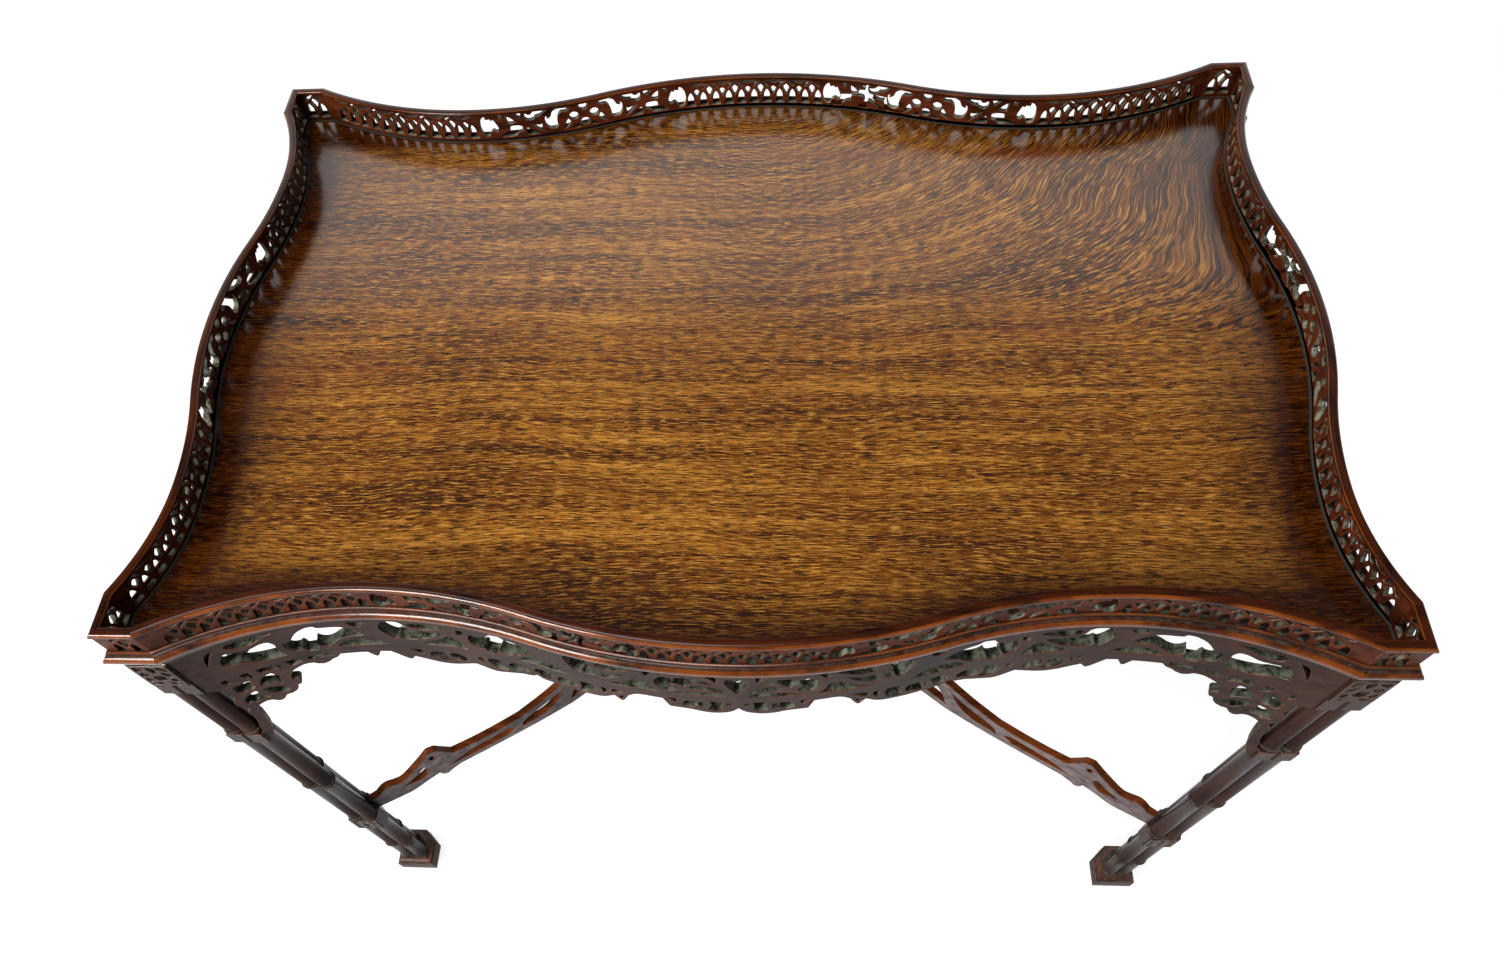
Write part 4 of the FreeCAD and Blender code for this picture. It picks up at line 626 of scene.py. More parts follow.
# Gallery scrollwork on one side of a flower, in millimetres: along the fret from the flower's
# middle, and up from the floor. The other side is its mirror image.
PETALS = ((10.5, 708.7, 5, 4.5), (0, 717.2, 4.8, 4.3), (0, 700.6, 4.8, 4.3))
SCROLL_HOLES = (
    ((5.6, 721), (13.4, 720.8), (9.4, 718), (6.1, 718.4)),
    ((5.7, 697.9), (8.7, 699.8), (15.3, 694.9), (5.4, 695.2)),
    ((16.7, 707.5), (20, 702.8), (23.7, 695.1), (19.6, 696.9), (13.1, 701.2)),
    ((14, 717.3), (17, 719.1), (27.1, 719.6), (32, 717.2), (34.2, 711.7), (38.4, 709.9), (37.1, 713.4),
     (39.5, 712.9), (40.9, 707.9), (39.6, 702), (36.3, 698.7), (30.5, 698.1), (26.7, 701.4), (28.2, 704.5),
     (26.6, 710.9), (23.4, 714.8), (19, 714.3), (15.6, 715.3)),
    ((34, 720.6), (49.9, 720.6), (53.9, 716.8), (56.9, 717.7), (58.6, 719.2), (60.6, 717.2), (59.4, 711.4),
     (55.1, 710.2), (50.3, 711.6), (49.9, 713.7), (44.7, 714), (39, 717.9)),
    ((41.9, 696), (44.2, 701.7), (42.9, 705.9), (47, 704.8), (56.8, 707.9), (51.8, 703), (46.1, 698.1)),
    ((60, 704.2), (61.8, 694.8), (46.1, 694.8), (53.6, 700.1)),
    ((62.1, 720.6), (73, 720.5), (66.5, 714.6), (63.4, 713.8), (64, 717.4)),
    ((68.6, 710), (74, 715.6), (80.3, 718.9), (78.7, 714.3), (78.4, 709.2), (75.4, 708.4)),
    ((82.2, 719.3), (88.6, 718.9), (86.2, 715.1), (82.9, 715.8)),
    ((63.3, 700.7), (64.2, 705.9), (67.9, 707), (74.4, 707), (77.9, 705.6), (76.7, 701.9), (83.6, 699.9),
     (88.6, 694.8), (71.1, 694.8), (68.8, 698.7), (65.5, 699.3)),
    ((87.8, 705.7), (90.2, 711.5), (92, 715.1), (94.3, 713.7), (95.1, 715.8), (99.7, 715), (99.6, 718.6),
     (103.2, 717.4), (106.2, 712.4), (107.2, 704), (105.8, 698.6), (102.9, 696.3), (98.7, 696.2),
     (97.1, 700.6), (94, 702.8), (91.2, 700.6), (88.9, 701.4)),
)
LANCET = ((-5.2, 694.8), (5.2, 694.8), (4.8, 697.5), (3.5, 699.8), (3.3, 702), (3.2, 705), (1.9, 708),
          (0, 710.5), (-1.9, 708), (-3.2, 705), (-3.3, 702), (-3.5, 699.8), (-4.8, 697.5))
TALL_KITE = symmetric(((0, 703), (3.9, 711), (2.6, 713.5), (0, 715.8)))
LOW_KITE = symmetric(((0, 703.4), (3.8, 710.4), (2, 712.4), (0, 713.6)))
CHEVRON = symmetric((
    (0, 719.8), (5, 717.8), (8.8, 714.6), (7, 712.6), (4.5, 714.2), (1.5, 717.1), (0, 717.8)))
TOP_BOWL = symmetric(((9, 719.8), (7, 718.5), (3.5, 716.8), (0, 716.2)))


def arcade_holes(start, count, pitch, chevrons_on):
    """Lancets at a pitch, with kites and with chevrons and bowls in turn above their columns."""
    holes = []
    for step in range(count):
        middle = start + pitch * step
        holes.append([(middle + x, z) for x, z in eased(LANCET, 0.2, 1)])
    for step in range(count - 1):
        middle = start + pitch * (step + 0.5)
        uppers = (TALL_KITE, CHEVRON) if step % 2 == chevrons_on else (LOW_KITE, TOP_BOWL)
        for opening in uppers:
            holes.append([(middle + x, z) for x, z in eased(opening, 0.12, 1)])
    return holes


def scroll_holes(middle):
    """A flower with its scrolls on both sides."""
    holes = []
    for x, z, radius_x, radius_z in PETALS:
        holes.append(ring((middle + x, z), radius_x, radius_z))
        if x:
            holes.append(ring((middle - x, z), radius_x, radius_z))
    for hole in SCROLL_HOLES:
        soft = eased(hole, 0.18)
        holes.append([(middle + x, z) for x, z in soft])
        holes.append([(middle - x, z) for x, z in soft])
    return holes


def mirrored(holes):
    return holes + [[(-x, z) for x, z in hole] for hole in holes]


def narrowed(points, by):
    """An opening made narrower by the same amount all round."""
    turn = sum(a[0] * b[1] - b[0] * a[1] for a, b in zip(points, points[1:] + points[:1]))
    moved = []
    for before, point, after in zip(points[-1:] + points[:-1], points, points[1:] + points[:1]):
        along = Vector((after[0] - before[0], after[1] - before[1])).normalized() * math.copysign(by, turn)
        moved.append((point[0] - along.y, point[1] + along.x))
    return moved


def rectangle_loop(reach, low, high):
    return [(-reach, low), (reach, low), (reach, high), (-reach, high)]


def gallery_fret(name):
    """A pierced gallery panel, with its pattern read off the photograph."""
    side = SIDES[name]
    reach = side.reach(BOARD_INSET)
    if is_long(name):
        middle = arcade_holes(-MIDDLE_PITCH * (MIDDLE_COUNT - 1) / 2, MIDDLE_COUNT, MIDDLE_PITCH, 1)
        ends = arcade_holes(LONG_ARCADE_AT, LONG_ARCADE_COUNT, LANCET_PITCH, 1)
        half = scroll_holes(MOTIF_AT) + ends
    else:
        middle = scroll_holes(0)
        half = arcade_holes(SHORT_ARCADE_AT, SHORT_ARCADE_COUNT, SHORT_LANCET_PITCH, 0)
    panel = rectangle_loop(reach - RIB_SWELL, BOARD_TOP + RIB_SWELL, CAP_UNDER - RIB_SWELL)
    mesh = pierced("gallery_fret_" + name, [panel] + middle + mirrored(half), FRET_THICKNESS, swell=RIB_SWELL)
    return bent(mesh, side, BOARD_INSET, FRET_THICKNESS)


def leg_face(name):
    return (LEG_X if is_long(name) else LEG_Y) - BLOCK_HALF


def apron_path(name):
    return SIDES[name].path_to(leg_face(name), APRON_INSET)


def apron(name):
    """A pierced apron with scalloped lower edges."""
    path = apron_path(name)
    clear = path - BRACKET_LENGTH
    shrink = path / apron_path("front")

    def low_place(along_share, level_share):
        return along_share * clear, APRON_LOW + level_share * APRON_HEIGHT

    edge = outline(APRON_LOW_SHARES, low_place)
    edge[-1] = (clear, RAIL_UNDER)
    for near, far in reversed(RAIL_NOTCHES):
        edge += [(path - far, RAIL_UNDER), (path - far, NOTCH_TOP), (path - near, NOTCH_TOP),
                 (path - near, RAIL_UNDER)]
    edge += [(path, RAIL_UNDER), (path, BOARD_UNDER)]
    edge += [(-x, z) for x, z in reversed(edge)]
    holes = mirrored([[(x * shrink, z) for x, z in eased(hole)] for hole in APRON_HOLES])
    holes.append([(x * shrink, z) for x, z in eased(HEART)])
    mesh = pierced("apron_" + name, [edge[1:]] + holes, APRON_THICKNESS)
    return bent(mesh, SIDES[name], APRON_INSET, APRON_THICKNESS)


def bracket(name, turn):
    """A pierced bracket at one end of an apron."""
    side = SIDES[name]
    path = side.path_to(leg_face(name), BRACKET_INSET)
    loops = [eased(BRACKET_EDGE + BRACKET_TOP, 0.15)]
    loops += [eased(hole) for hole in BRACKET_HOLES]
    placed = [[(turn * (path - away), level) for away, level in loop] for loop in loops]
    mesh = pierced("bracket_" + name, placed, BRACKET_THICKNESS)
    return bent(mesh, side, BRACKET_INSET, BRACKET_THICKNESS)


# Materials. Object coordinates are the table's own, so the grain runs through each piece.
class Nodes:
    """A material's nodes, made and linked in short lines."""

    def __init__(self, name):
        self.material = bpy.data.materials.new(name)
        self.material.use_nodes = True
        self.tree = self.material.node_tree
        self.shader = self.tree.nodes["Principled BSDF"]

    def add(self, kind, inputs=None, **settings):
        node = self.tree.nodes.new(kind)
        for key, value in settings.items():
            setattr(node, key, value)
        for key, value in (inputs or {}).items():
            self.feed(node.inputs[key], value)
        return node

    def feed(self, socket, value):
        if isinstance(value, bpy.types.NodeSocket):
            self.tree.links.new(value, socket)
        else:
            socket.default_value = value

    def math(self, operation, first, second=0.0, clamp=False):
        node = self.add("ShaderNodeMath", {0: first, 1: second}, operation=operation, use_clamp=clamp)
        return node.outputs[0]

    def times(self, first, second, clamp=False):
        return self.math("MULTIPLY", first, second, clamp)

    def plus(self, first, second, clamp=False):
        return self.math("ADD", first, second, clamp)

    def minus(self, first, second):
        return self.math("SUBTRACT", first, second)

    def mix(self, factor, first, second, blend="MIX"):
        node = self.add("ShaderNodeMix", data_type="RGBA", blend_type=blend)
        self.feed(node.inputs[0], factor)
        self.feed(node.inputs[6], first)
        self.feed(node.inputs[7], second)
        return node.outputs[2]

    def tinted(self, colour, mask, share, tint):
        """The colour with a share of a tint where the mask is 1."""
        return self.mix(self.times(mask, share), colour, tint)

    def ramp(self, factor, stops):
        node = self.add("ShaderNodeValToRGB", {"Fac": factor})
        node.color_ramp.interpolation = "EASE"
        elements = node.color_ramp.elements
        while len(elements) < len(stops):
            elements.new(0.5)
        for element, (place, colour) in zip(elements, stops):
            element.position = place
            element.color = colour
        return node.outputs["Color"]

    def band(self, value, low, high):
        """0 below low and 1 above high."""
        node = self.add("ShaderNodeMapRange", {"Value": value, "From Min": low, "From Max": high})
        node.interpolation_type = "SMOOTHSTEP"
        return node.outputs[0]

    def noise(self, vector, scale, detail, rough=0.55):
        inputs = {"Vector": vector, "Scale": scale, "Detail": detail, "Roughness": rough}
        return self.add("ShaderNodeTexNoise", inputs).outputs["Fac"]

    def grain(self, vector, stretch, scale, detail, rough=0.55):
        """Noise drawn out by a scale along each axis."""
        mapping = self.add("ShaderNodeMapping", {"Vector": vector, "Scale": stretch})
        return self.noise(mapping.outputs[0], scale, detail, rough)

    def finished(self, inputs, strength, distance, height):
        """The material, with its shader's inputs and a fine relief."""
        for key, value in inputs.items():
            self.feed(self.shader.inputs[key], value)
        relief = self.add("ShaderNodeBump", {"Strength": strength, "Distance": distance, "Height": height})
        self.feed(self.shader.inputs["Normal"], relief.outputs[0])
        return self.material


def tone(red, green, blue):
    """A colour written as it looks on screen, from 0 to 255, made linear."""
    def linear(value):
        share = value / 255
        return share / 12.92 if share <= 0.04045 else ((share + 0.055) / 1.055) ** 2.4
    return linear(red), linear(green), linear(blue), 1.0


# How far the painted shade in corners reaches, found by ambient occlusion.
PAINTED_SHADE_REACH = 7 * MM
WOOD_RELIEF = 0.4 * MM
BOARD_RELIEF = 0.3 * MM
METAL_RELIEF = 0.2 * MM


def wood(name, axis, dark, light, dust_and_highlight=0.0, roughness=0.38, worn_and_lit=None, polish=0.0, painted_shade=0.8, shine=0.07,
         dust_and_light_facing=(0.15, 0.95), cover_tone=None):
    """Old mahogany: streaks and pores along an axis, painted shade in corners, a dusty cover on ledges that
    on cut walls is partly a painted highlight, and patches of wear that on arrises are partly painted light.
    """
    n = Nodes(name)
    along = {"X": (1, 14, 14), "Y": (14, 1, 14), "Z": (14, 14, 1)}[axis]
    place = n.add("ShaderNodeTexCoord").outputs["Object"]
    streak = n.grain(place, along, 9.0, 6.0, 0.62)
    pore = n.band(n.grain(place, tuple(5 * a for a in along), 60.0, 2.0, 0.6), 0.6, 0.7)
    blotch = n.noise(place, 11.0, 3.0)
    shade = n.plus(n.times(streak, 0.6), n.times(blotch, 0.5))
    colour = n.ramp(shade, ((0.38, dark), (0.7, light)))
    colour = n.tinted(colour, pore, 0.6, tuple(c * 0.3 for c in dark[:3]) + (1.0,))
    # Patches of wear, partly painted light where the arrises catch the lamps.
    if worn_and_lit:
        colour = n.tinted(colour, n.band(n.noise(place, 22.0, 5.0, 0.65), 0.3, 0.62), 0.95, worn_and_lit)
    # A dusty cover on upward-facing surfaces; with the pale cover tone given for cut walls it is partly a
    # painted highlight where their lower walls catch the light.
    if dust_and_highlight:
        normal = n.add("ShaderNodeSeparateXYZ", {0: n.add("ShaderNodeNewGeometry").outputs["Normal"]})
        ledge = n.band(normal.outputs[2], *dust_and_light_facing)
        specks = n.band(n.noise(place, 140.0, 4.0, 0.7), 0.33, 0.66)
        colour = n.tinted(colour, n.times(ledge, specks), dust_and_highlight, cover_tone or DUST)
    # Painted shade: the colour darkens towards the shade tone where ambient occlusion finds surfaces close
    # by.
    if painted_shade:
        open_share = n.add("ShaderNodeAmbientOcclusion", {"Distance": PAINTED_SHADE_REACH}, samples=6).outputs["AO"]
        colour = n.tinted(colour, n.band(open_share, 0.75, 0.3), painted_shade, PAINTED_SHADE_TONE)
    inputs = {
        "Base Color": colour, "Specular IOR Level": shine,
        "Roughness": n.plus(n.times(streak, 0.16), roughness - 0.08),
        "Coat Weight": polish, "Coat Roughness": 0.12, "Coat IOR": 1.35,
    }
    return n.finished(inputs, 0.25, WOOD_RELIEF, n.minus(n.times(streak, 0.5), n.times(pore, 0.6)))


# The board's figure, in metres on the top: where the rings turn, and how far the painted shade near its rim,
# ends and front and the dusty line at its rim reach.
SWIRL_CENTRE = (0.02, 0.36)
SWIRL_BEND = 0.62
SWIRL_FRONT, SWIRL_BACK = -0.08, 0.24
GRAIN_WANDER = 0.045
END_FROM, END_TO = 0.3, 0.45
FRONT_FROM, FRONT_TO = -0.16, -0.26
RIM_REACH, RIM_FRONT_REACH, RIM_END_REACH = 0.05, 0.1, 0.17
RIM_END_PAST = -0.02
RIM_DUST = (0.0085, 0.0075)
RIM_SHADE = (0.2, 0.12, 0.05, 1)


def board_grain(n, place, parts):
    """Coordinates whose level lines are the top's growth rings: straight in front, turned up at the back."""
    wander = n.grain(place, (1.3, 2.2, 1), 2.6, 3.0, 0.5)
    past = n.math("MAXIMUM", n.minus(parts.outputs[0], SWIRL_CENTRE[0]), 0.0)
    down = n.minus(SWIRL_CENTRE[1], parts.outputs[1])
    bend = n.times(n.band(parts.outputs[1], SWIRL_FRONT, SWIRL_BACK), SWIRL_BEND)
    spread = n.times(n.times(past, past), bend)
    away = n.math("SQRT", n.plus(n.times(down, down), spread))
    across = n.plus(away, n.times(wander, GRAIN_WANDER))
    return n.add("ShaderNodeCombineXYZ", {0: parts.outputs[0], 1: across}).outputs[0]


def board_wood():
    """The top's golden figured mahogany, darker towards its ends and rim with painted shade."""
    n = Nodes("mahogany_board")
    place = n.add("ShaderNodeTexCoord").outputs["Object"]
    parts = n.add("ShaderNodeSeparateXYZ", {0: place})
    rim = n.add("ShaderNodeAttribute", attribute_name="rim").outputs["Fac"]
    moved = board_grain(n, place, parts)
    broad = n.grain(moved, (0.5, 11, 1), 3.2, 5.0, 0.65)
    rings = n.grain(moved, (0.8, 38, 1), 4.0, 3.0, 0.5)
    fine = n.grain(moved, (2.6, 90, 1), 9.0, 5.0, 0.7)
    cloud = n.grain(place, (1.6, 2.4, 1), 3.0, 2.0)
    shade = n.plus(n.times(broad, 0.28), n.times(fine, 0.36))
    shade = n.plus(shade, n.times(cloud, 0.18))
    shade = n.plus(shade, n.times(rings, 0.3))
    colour = n.ramp(shade, (
        (0.49, tone(60, 28, 5)), (0.54, tone(100, 54, 12)), (0.59, tone(130, 80, 22)),
        (0.66, tone(168, 114, 42))))
    glint = n.band(n.grain(moved, (11, 120, 1), 7.0, 2.0, 0.5), 0.52, 0.62)
    pore = n.band(n.grain(moved, (13, 150, 1), 5.5, 3.0, 0.6), 0.5, 0.57)
    red = n.band(n.grain(place, (1.2, 5, 1), 3.7, 2.0), 0.6, 0.75)
    spots = n.band(n.grain(place, (1, 1.6, 1), 46.0, 2.0, 0.5), 0.75, 0.8)
    for mask, share, tint in ((glint, 0.7, tone(188, 136, 60)), (pore, 0.85, tone(36, 15, 3)),
                              (red, 0.35, tone(104, 42, 14)), (spots, 0.7, tone(30, 14, 5))):
        colour = n.tinted(colour, mask, share, tint)
    # Painted shade: darker near the rim, and further in towards the ends and the front.
    ends = n.band(n.math("ABSOLUTE", parts.outputs[0]), END_FROM, END_TO)
    front = n.band(parts.outputs[1], FRONT_FROM, FRONT_TO)
    near_rim = n.plus(n.band(rim, RIM_REACH, 0), n.times(n.band(rim, RIM_END_REACH, RIM_END_PAST), ends))
    near_rim = n.plus(near_rim, n.times(n.band(rim, RIM_FRONT_REACH, 0), n.times(front, 0.6)))
    wavy = n.times(near_rim, n.plus(n.times(broad, 0.5), 0.6), clamp=True)
    dusty = n.band(rim, *RIM_DUST)
    colour = n.mix(dusty, n.mix(wavy, colour, RIM_SHADE, "MULTIPLY"), tone(44, 44, 40))
    gloss = n.plus(n.plus(n.times(fine, 0.08), 0.12), n.times(dusty, 0.4))
    height = n.minus(n.times(fine, 0.3), n.times(pore, 0.5))
    return n.finished({"Base Color": colour, "Roughness": gloss}, 0.12, BOARD_RELIEF, height)


def metal(name, colour, stain, roughness):
    """Dull old metal with darker stains."""
    n = Nodes(name)
    place = n.add("ShaderNodeTexCoord").outputs["Object"]
    patches = n.band(n.noise(place, 160.0, 5.0, 0.65), 0.36, 0.6)
    inputs = {"Base Color": n.mix(patches, colour, stain), "Metallic": 1.0,
              "Roughness": n.plus(n.times(patches, 0.25), roughness)}
    return n.finished(inputs, 0.15, METAL_RELIEF, n.grain(place, (40, 40, 900), 6.0, 3.0))


DUST = tone(142, 148, 136)
# The pale cover of cut walls: dusty, and a painted highlight on their upward sides.
LINT_AND_HIGHLIGHT = tone(130, 136, 120)
# The tone of the painted shade, in corners and on the dark side of cut walls.
PAINTED_SHADE_TONE = tone(12, 9, 7)
RED_DARK, RED_LIGHT = tone(22, 8, 3), tone(66, 27, 8)
GREY_DARK, GREY_LIGHT = tone(24, 16, 14), tone(66, 44, 38)
SHADE_BROWN = tone(40, 34, 28)
# The arrises' colour: wear, and painted light along lit edges.
WORN_AND_LIT = tone(122, 60, 14)
WORN_AND_LIT_GREY = tone(104, 62, 44)
along_axis = {"back": "X", "front": "X", "left": "Y", "right": "Y"}
board_material = board_wood()


def wood_set(name, axis, dark, light, dust_and_highlight, roughness, wall, polish=0.0, worn_and_lit=WORN_AND_LIT):
    """Materials of a piece: its faces, its arrises showing wear and painted light, and its dusty cut walls
    with painted shade and a painted highlight.
    """
    label = "mahogany_%s_" % name
    return [
        wood(label + axis, axis, dark, light, dust_and_highlight * 0.3, roughness, None, polish),
        wood(label + "arris_" + axis, axis, dark, light, 0, roughness - 0.08, worn_and_lit, polish, 0, 0.25),
        # Cut walls: painted shade from the shade tone up to the wall colour, and a pale cover, part dusty and
        # part painted highlight, on their upward sides.
        wood(label + "wall_" + axis, axis, PAINTED_SHADE_TONE, wall, dust_and_highlight, roughness + 0.12, painted_shade=0.6,
             dust_and_light_facing=(-0.1, 0.4), cover_tone=LINT_AND_HIGHLIGHT),
    ]


def wood_sets(name, *look):
    """The set with its grain along the long sides and with it along the short ones."""
    return {axis: wood_set(name, axis, *look) for axis in "XY"}


cap_woods = wood_sets("cap", RED_DARK, RED_LIGHT, 0, 0.24, RED_LIGHT, 0.35)
moulding_woods = wood_sets("moulding", RED_DARK, RED_LIGHT, 0.3, 0.24, RED_LIGHT, 0.35)
fret_woods = wood_sets("fret", tone(34, 13, 6), tone(90, 42, 22), 0.95, 0.36, tone(40, 36, 30))
apron_woods = wood_sets("apron", GREY_DARK, GREY_LIGHT, 0.7, 0.4, tone(34, 32, 26))
leg_woods = wood_set("leg", "Z", tone(18, 10, 8), tone(60, 36, 30), 0.9, 0.3, SHADE_BROWN, worn_and_lit=WORN_AND_LIT_GREY)
foot_woods = wood_set("foot", "X", tone(24, 16, 13), tone(70, 50, 44), 0.9, 0.36, SHADE_BROWN, worn_and_lit=WORN_AND_LIT_GREY)
# The arms' faces are a pale lilac grey, partly dusty and partly a painted sheen; their edges and cut walls
# are a saturated red-brown painted as lit, with full painted shade in their corners.
arm_face = wood("mahogany_arm_X", "X", tone(60, 50, 50), tone(136, 122, 122), 0.1, 0.36)
arm_edge = wood("mahogany_arm_edge_X", "X", tone(64, 28, 12), tone(128, 66, 30), 0, 0.32, painted_shade=1)
arm_woods = [arm_face, arm_edge, arm_edge]
block_wood = wood("pine_block", "X", tone(120, 84, 48), tone(164, 124, 78), 0.2, 0.6)
brass = metal("old_brass", tone(176, 140, 74), tone(84, 62, 32), 0.32)
wheel_brass = metal("wheel_brass", tone(168, 130, 66), tone(78, 58, 30), 0.4)
iron = metal("dull_iron", tone(92, 88, 84), tone(52, 40, 32), 0.45)


# Top board: rings of points that close in from the rim, each with its distance from the rim.
RING_INSETS = (BOARD_INSET, 5.9, 7, 8, 9, 12)
BOARD_CREASE = 30
RING_SHARES = (0.96, 0.92, 0.86, 0.78, 0.66, 0.5, 0.3, 0.1)


def plan_loop(inset):
    points = []
    for name in ("back", "right", "front", "left"):
        side = SIDES[name]
        stations = side.stations(inset, BOARD_STEP) + [(side.along - inset, side.out - inset)]
        points.extend(side.turned(x, y) for x, y in stations)
    return points


def top_board():
    rings = [plan_loop(inset) for inset in RING_INSETS]
    inmost = rings[-1]
    for scale in RING_SHARES:
        rings.append([(x * scale, y * scale) for x, y in inmost])
    rows = [[(x, y, BOARD_UNDER) for x, y in rings[0]]]
    rows += [[(x, y, BOARD_TOP) for x, y in points] for points in rings]
    mesh = mesh_from("top_board_top", *bridged(rows))
    rim_line = [Vector(p) for p in rings[0]]
    attribute = mesh.attributes.new("rim", "FLOAT", "POINT")
    for vertex in mesh.vertices:
        spot = Vector(vertex.co[:2]) / MM
        attribute.data[vertex.index].value = min((spot - p).length for p in rim_line) * MM
    for ring_index, inset in enumerate(RING_INSETS, 1):
        for k in range(len(rim_line)):
            attribute.data[ring_index * len(rim_line) + k].value = inset * MM
    for polygon in mesh.polygons:
        polygon.use_smooth = True
    mesh.set_sharp_from_angle(angle=math.radians(BOARD_CREASE))
    return mesh


new_piece("board", top_board(), [board_material], "top_board")

# Edge moulding and cap rail.
MOULDING_SECTION = (
    (BOARD_INSET, MOULDING_LOW), (BOARD_INSET, MOULDING_HIGH), (0.2, MOULDING_HIGH), (-0.9, 697.6),
    (-1.2, 696.9), (-1.2, 694.9), (-2.3, 694.5), (-3.6, 693.6), (-4.9, 692.3), (-5.8, 690.8), (-6, 689.2),
    (-5.7, 687.6), (-4.9, 686.1), (-4.1, 685.2), (-3.5, 684.7), (-3.5, MOULDING_LOW),
)
CAP_SECTION = (
    (0, CAP_UNDER), (0, 721.6), (0.3, 722.7), (0.9, 723.6), (1.7, 724.3), (2.6, 724.8), (3.6, CAP_TOP),
    (5.9, CAP_TOP),
    (6.3, 724.5), (6.7, 724.5), (7.1, CAP_TOP), (7.7, CAP_TOP), (8.2, 724.6), (8.5, 723.9), (8.5, 722.2),
    (8, 721.6), (7.2, 721.3), (6.6, CAP_UNDER),
)
# Steps that take the arris material: wear, with painted light along the nose and the rounded edge.
MOULDING_WORN_AND_LIT = (2, 7, 8, 9, 10)
CAP_WORN_AND_LIT = (1, 2, 3, 12)
for name, side in SIDES.items():
    axis = along_axis[name]
    piece = "moulding_" + name
    new_piece(piece, swept(piece, side, MOULDING_SECTION, MOULDING_WORN_AND_LIT), moulding_woods[axis],
              "edge_moulding_" + name)
    piece = "cap_" + name
    new_piece(piece, swept(piece, side, CAP_SECTION, CAP_WORN_AND_LIT), cap_woods[axis],
              "gallery_cap_" + name)
    new_piece("fret_" + name, gallery_fret(name), fret_woods[axis], "gallery_fret_" + name)
    new_piece("skirt_" + name, apron(name), apron_woods[axis], "apron_" + name)
    for number, turn in (("one", 1), ("two", -1)):
        node = "bracket_%s_%s" % (name, number)
        new_piece("scroll_" + node, bracket(name, turn), apron_woods[axis], node)

corner_mouldings = [swept_corner("moulding_" + corner, MOULDING_SECTION, *signs, MOULDING_WORN_AND_LIT)
                    for corner, signs in CORNERS.items()]
new_piece("moulding_corners", finish_mesh(joined_mesh("moulding_corners", corner_mouldings)),
          moulding_woods["X"], "edge_moulding_corners")


def corner_panel(name, along_x, along_y):
    """A mitred corner of the gallery, with two lancets in each half."""
    meshes = []
    for side, swap in ((SIDES["back"], False), (SIDES["right"], True)):
        start = side.kink(BOARD_INSET)
        stop = side.along - BOARD_INSET
        middle = (start + stop - FRET_THICKNESS) / 2
        holes = [[(middle + turn * LANCET_PITCH / 2 + x, z) for x, z in eased(LANCET, 0.2, 1)]
                 for turn in (-1, 1)]
        for opening in (TALL_KITE, CHEVRON):
            holes.append([(middle + x, z) for x, z in eased(opening, 0.1, 1)])
        loops = [[(start, BOARD_TOP), (stop, BOARD_TOP), (stop, CAP_UNDER), (start, CAP_UNDER)]] + holes
        mesh = pierced(name, loops, FRET_THICKNESS)
        for vertex in mesh.vertices:
            path, level, depth = vertex.co
            inset = BOARD_INSET + FRET_THICKNESS / 2 - depth
            if path < start + MITRE_NEAR:
                path += side.kink(inset) - start
            if path > stop - MITRE_NEAR:
                path += BOARD_INSET - inset
            x, y = path, side.out - inset
            if swap:
                x, y = y, x
            vertex.co = (along_x * x * MM, along_y * y * MM, level * MM)
        meshes.append(mesh)
    return finish_mesh(joined_mesh(name, meshes))


for corner, signs in CORNERS.items():
    piece = "cap_corner_" + corner
    new_piece(piece, swept_corner(piece, CAP_SECTION, *signs, CAP_WORN_AND_LIT), cap_woods["X"],
              "gallery_cap_corner_" + corner)
    piece = "fret_corner_" + corner
    new_piece(piece, corner_panel(piece, *signs), fret_woods["X"], "gallery_corner_" + corner)


# Legs.
def bead_profile(radius, level):
    """A pair of fine beads round a column."""
    points = []
    for offset in (-BAND_BEAD / 2, BAND_BEAD / 2):
        for k in range(BEAD_STEPS + 1):
            angle = math.pi * (k / BEAD_STEPS - 0.5)
            out = radius + BAND_PROUD + (BAND_BEAD - BAND_PROUD) * math.cos(angle)
            points.append((out, level + offset + BAND_BEAD / 2 * math.sin(angle)))
    return [(radius, level - BAND_HALF)] + points + [(radius, level + BAND_HALF)]


def mark_slopes(mesh):
    """Gives the sloping faces of a squared block the arris material."""
    for polygon in mesh.polygons:
        if ARRIS_ABOVE < abs(polygon.normal.z) < FACE_ABOVE:
            polygon.material_index = ARRIS
    return mesh


# Carved relief on the outer faces of the top blocks and the lower collars, each with its foot and its height:
# openings in millimetres from the middle of the face and up from the foot. Those beside the middle are
# repeated mirrored.
BLOCK_CARVING = (BLOCK_FOOT, BLOCK_CARVING_HEIGHT, (
    symmetric(((0, 20.5), (3.4, 19.5), (6.5, 15), (3.4, 10.5), (0, 9.5))),
    symmetric(((0, 36), (4, 33), (2.6, 28), (0, 23))),
    ((5.4, 35.5), (13.5, 35.5), (13.5, 27), (10, 29.5), (6, 31)),
    ((4, 22.5), (7.5, 27.5), (13.5, 23.5), (13.5, 18), (9, 18.5)),
    ((8.6, 15), (13.5, 15.6), (13.5, 8.5), (9.5, 8), (7, 11)),
    ((2.5, 7.4), (6, 7.6), (9, 5), (12.5, 5.5), (13.5, 2.5), (5, 2.5)),
))
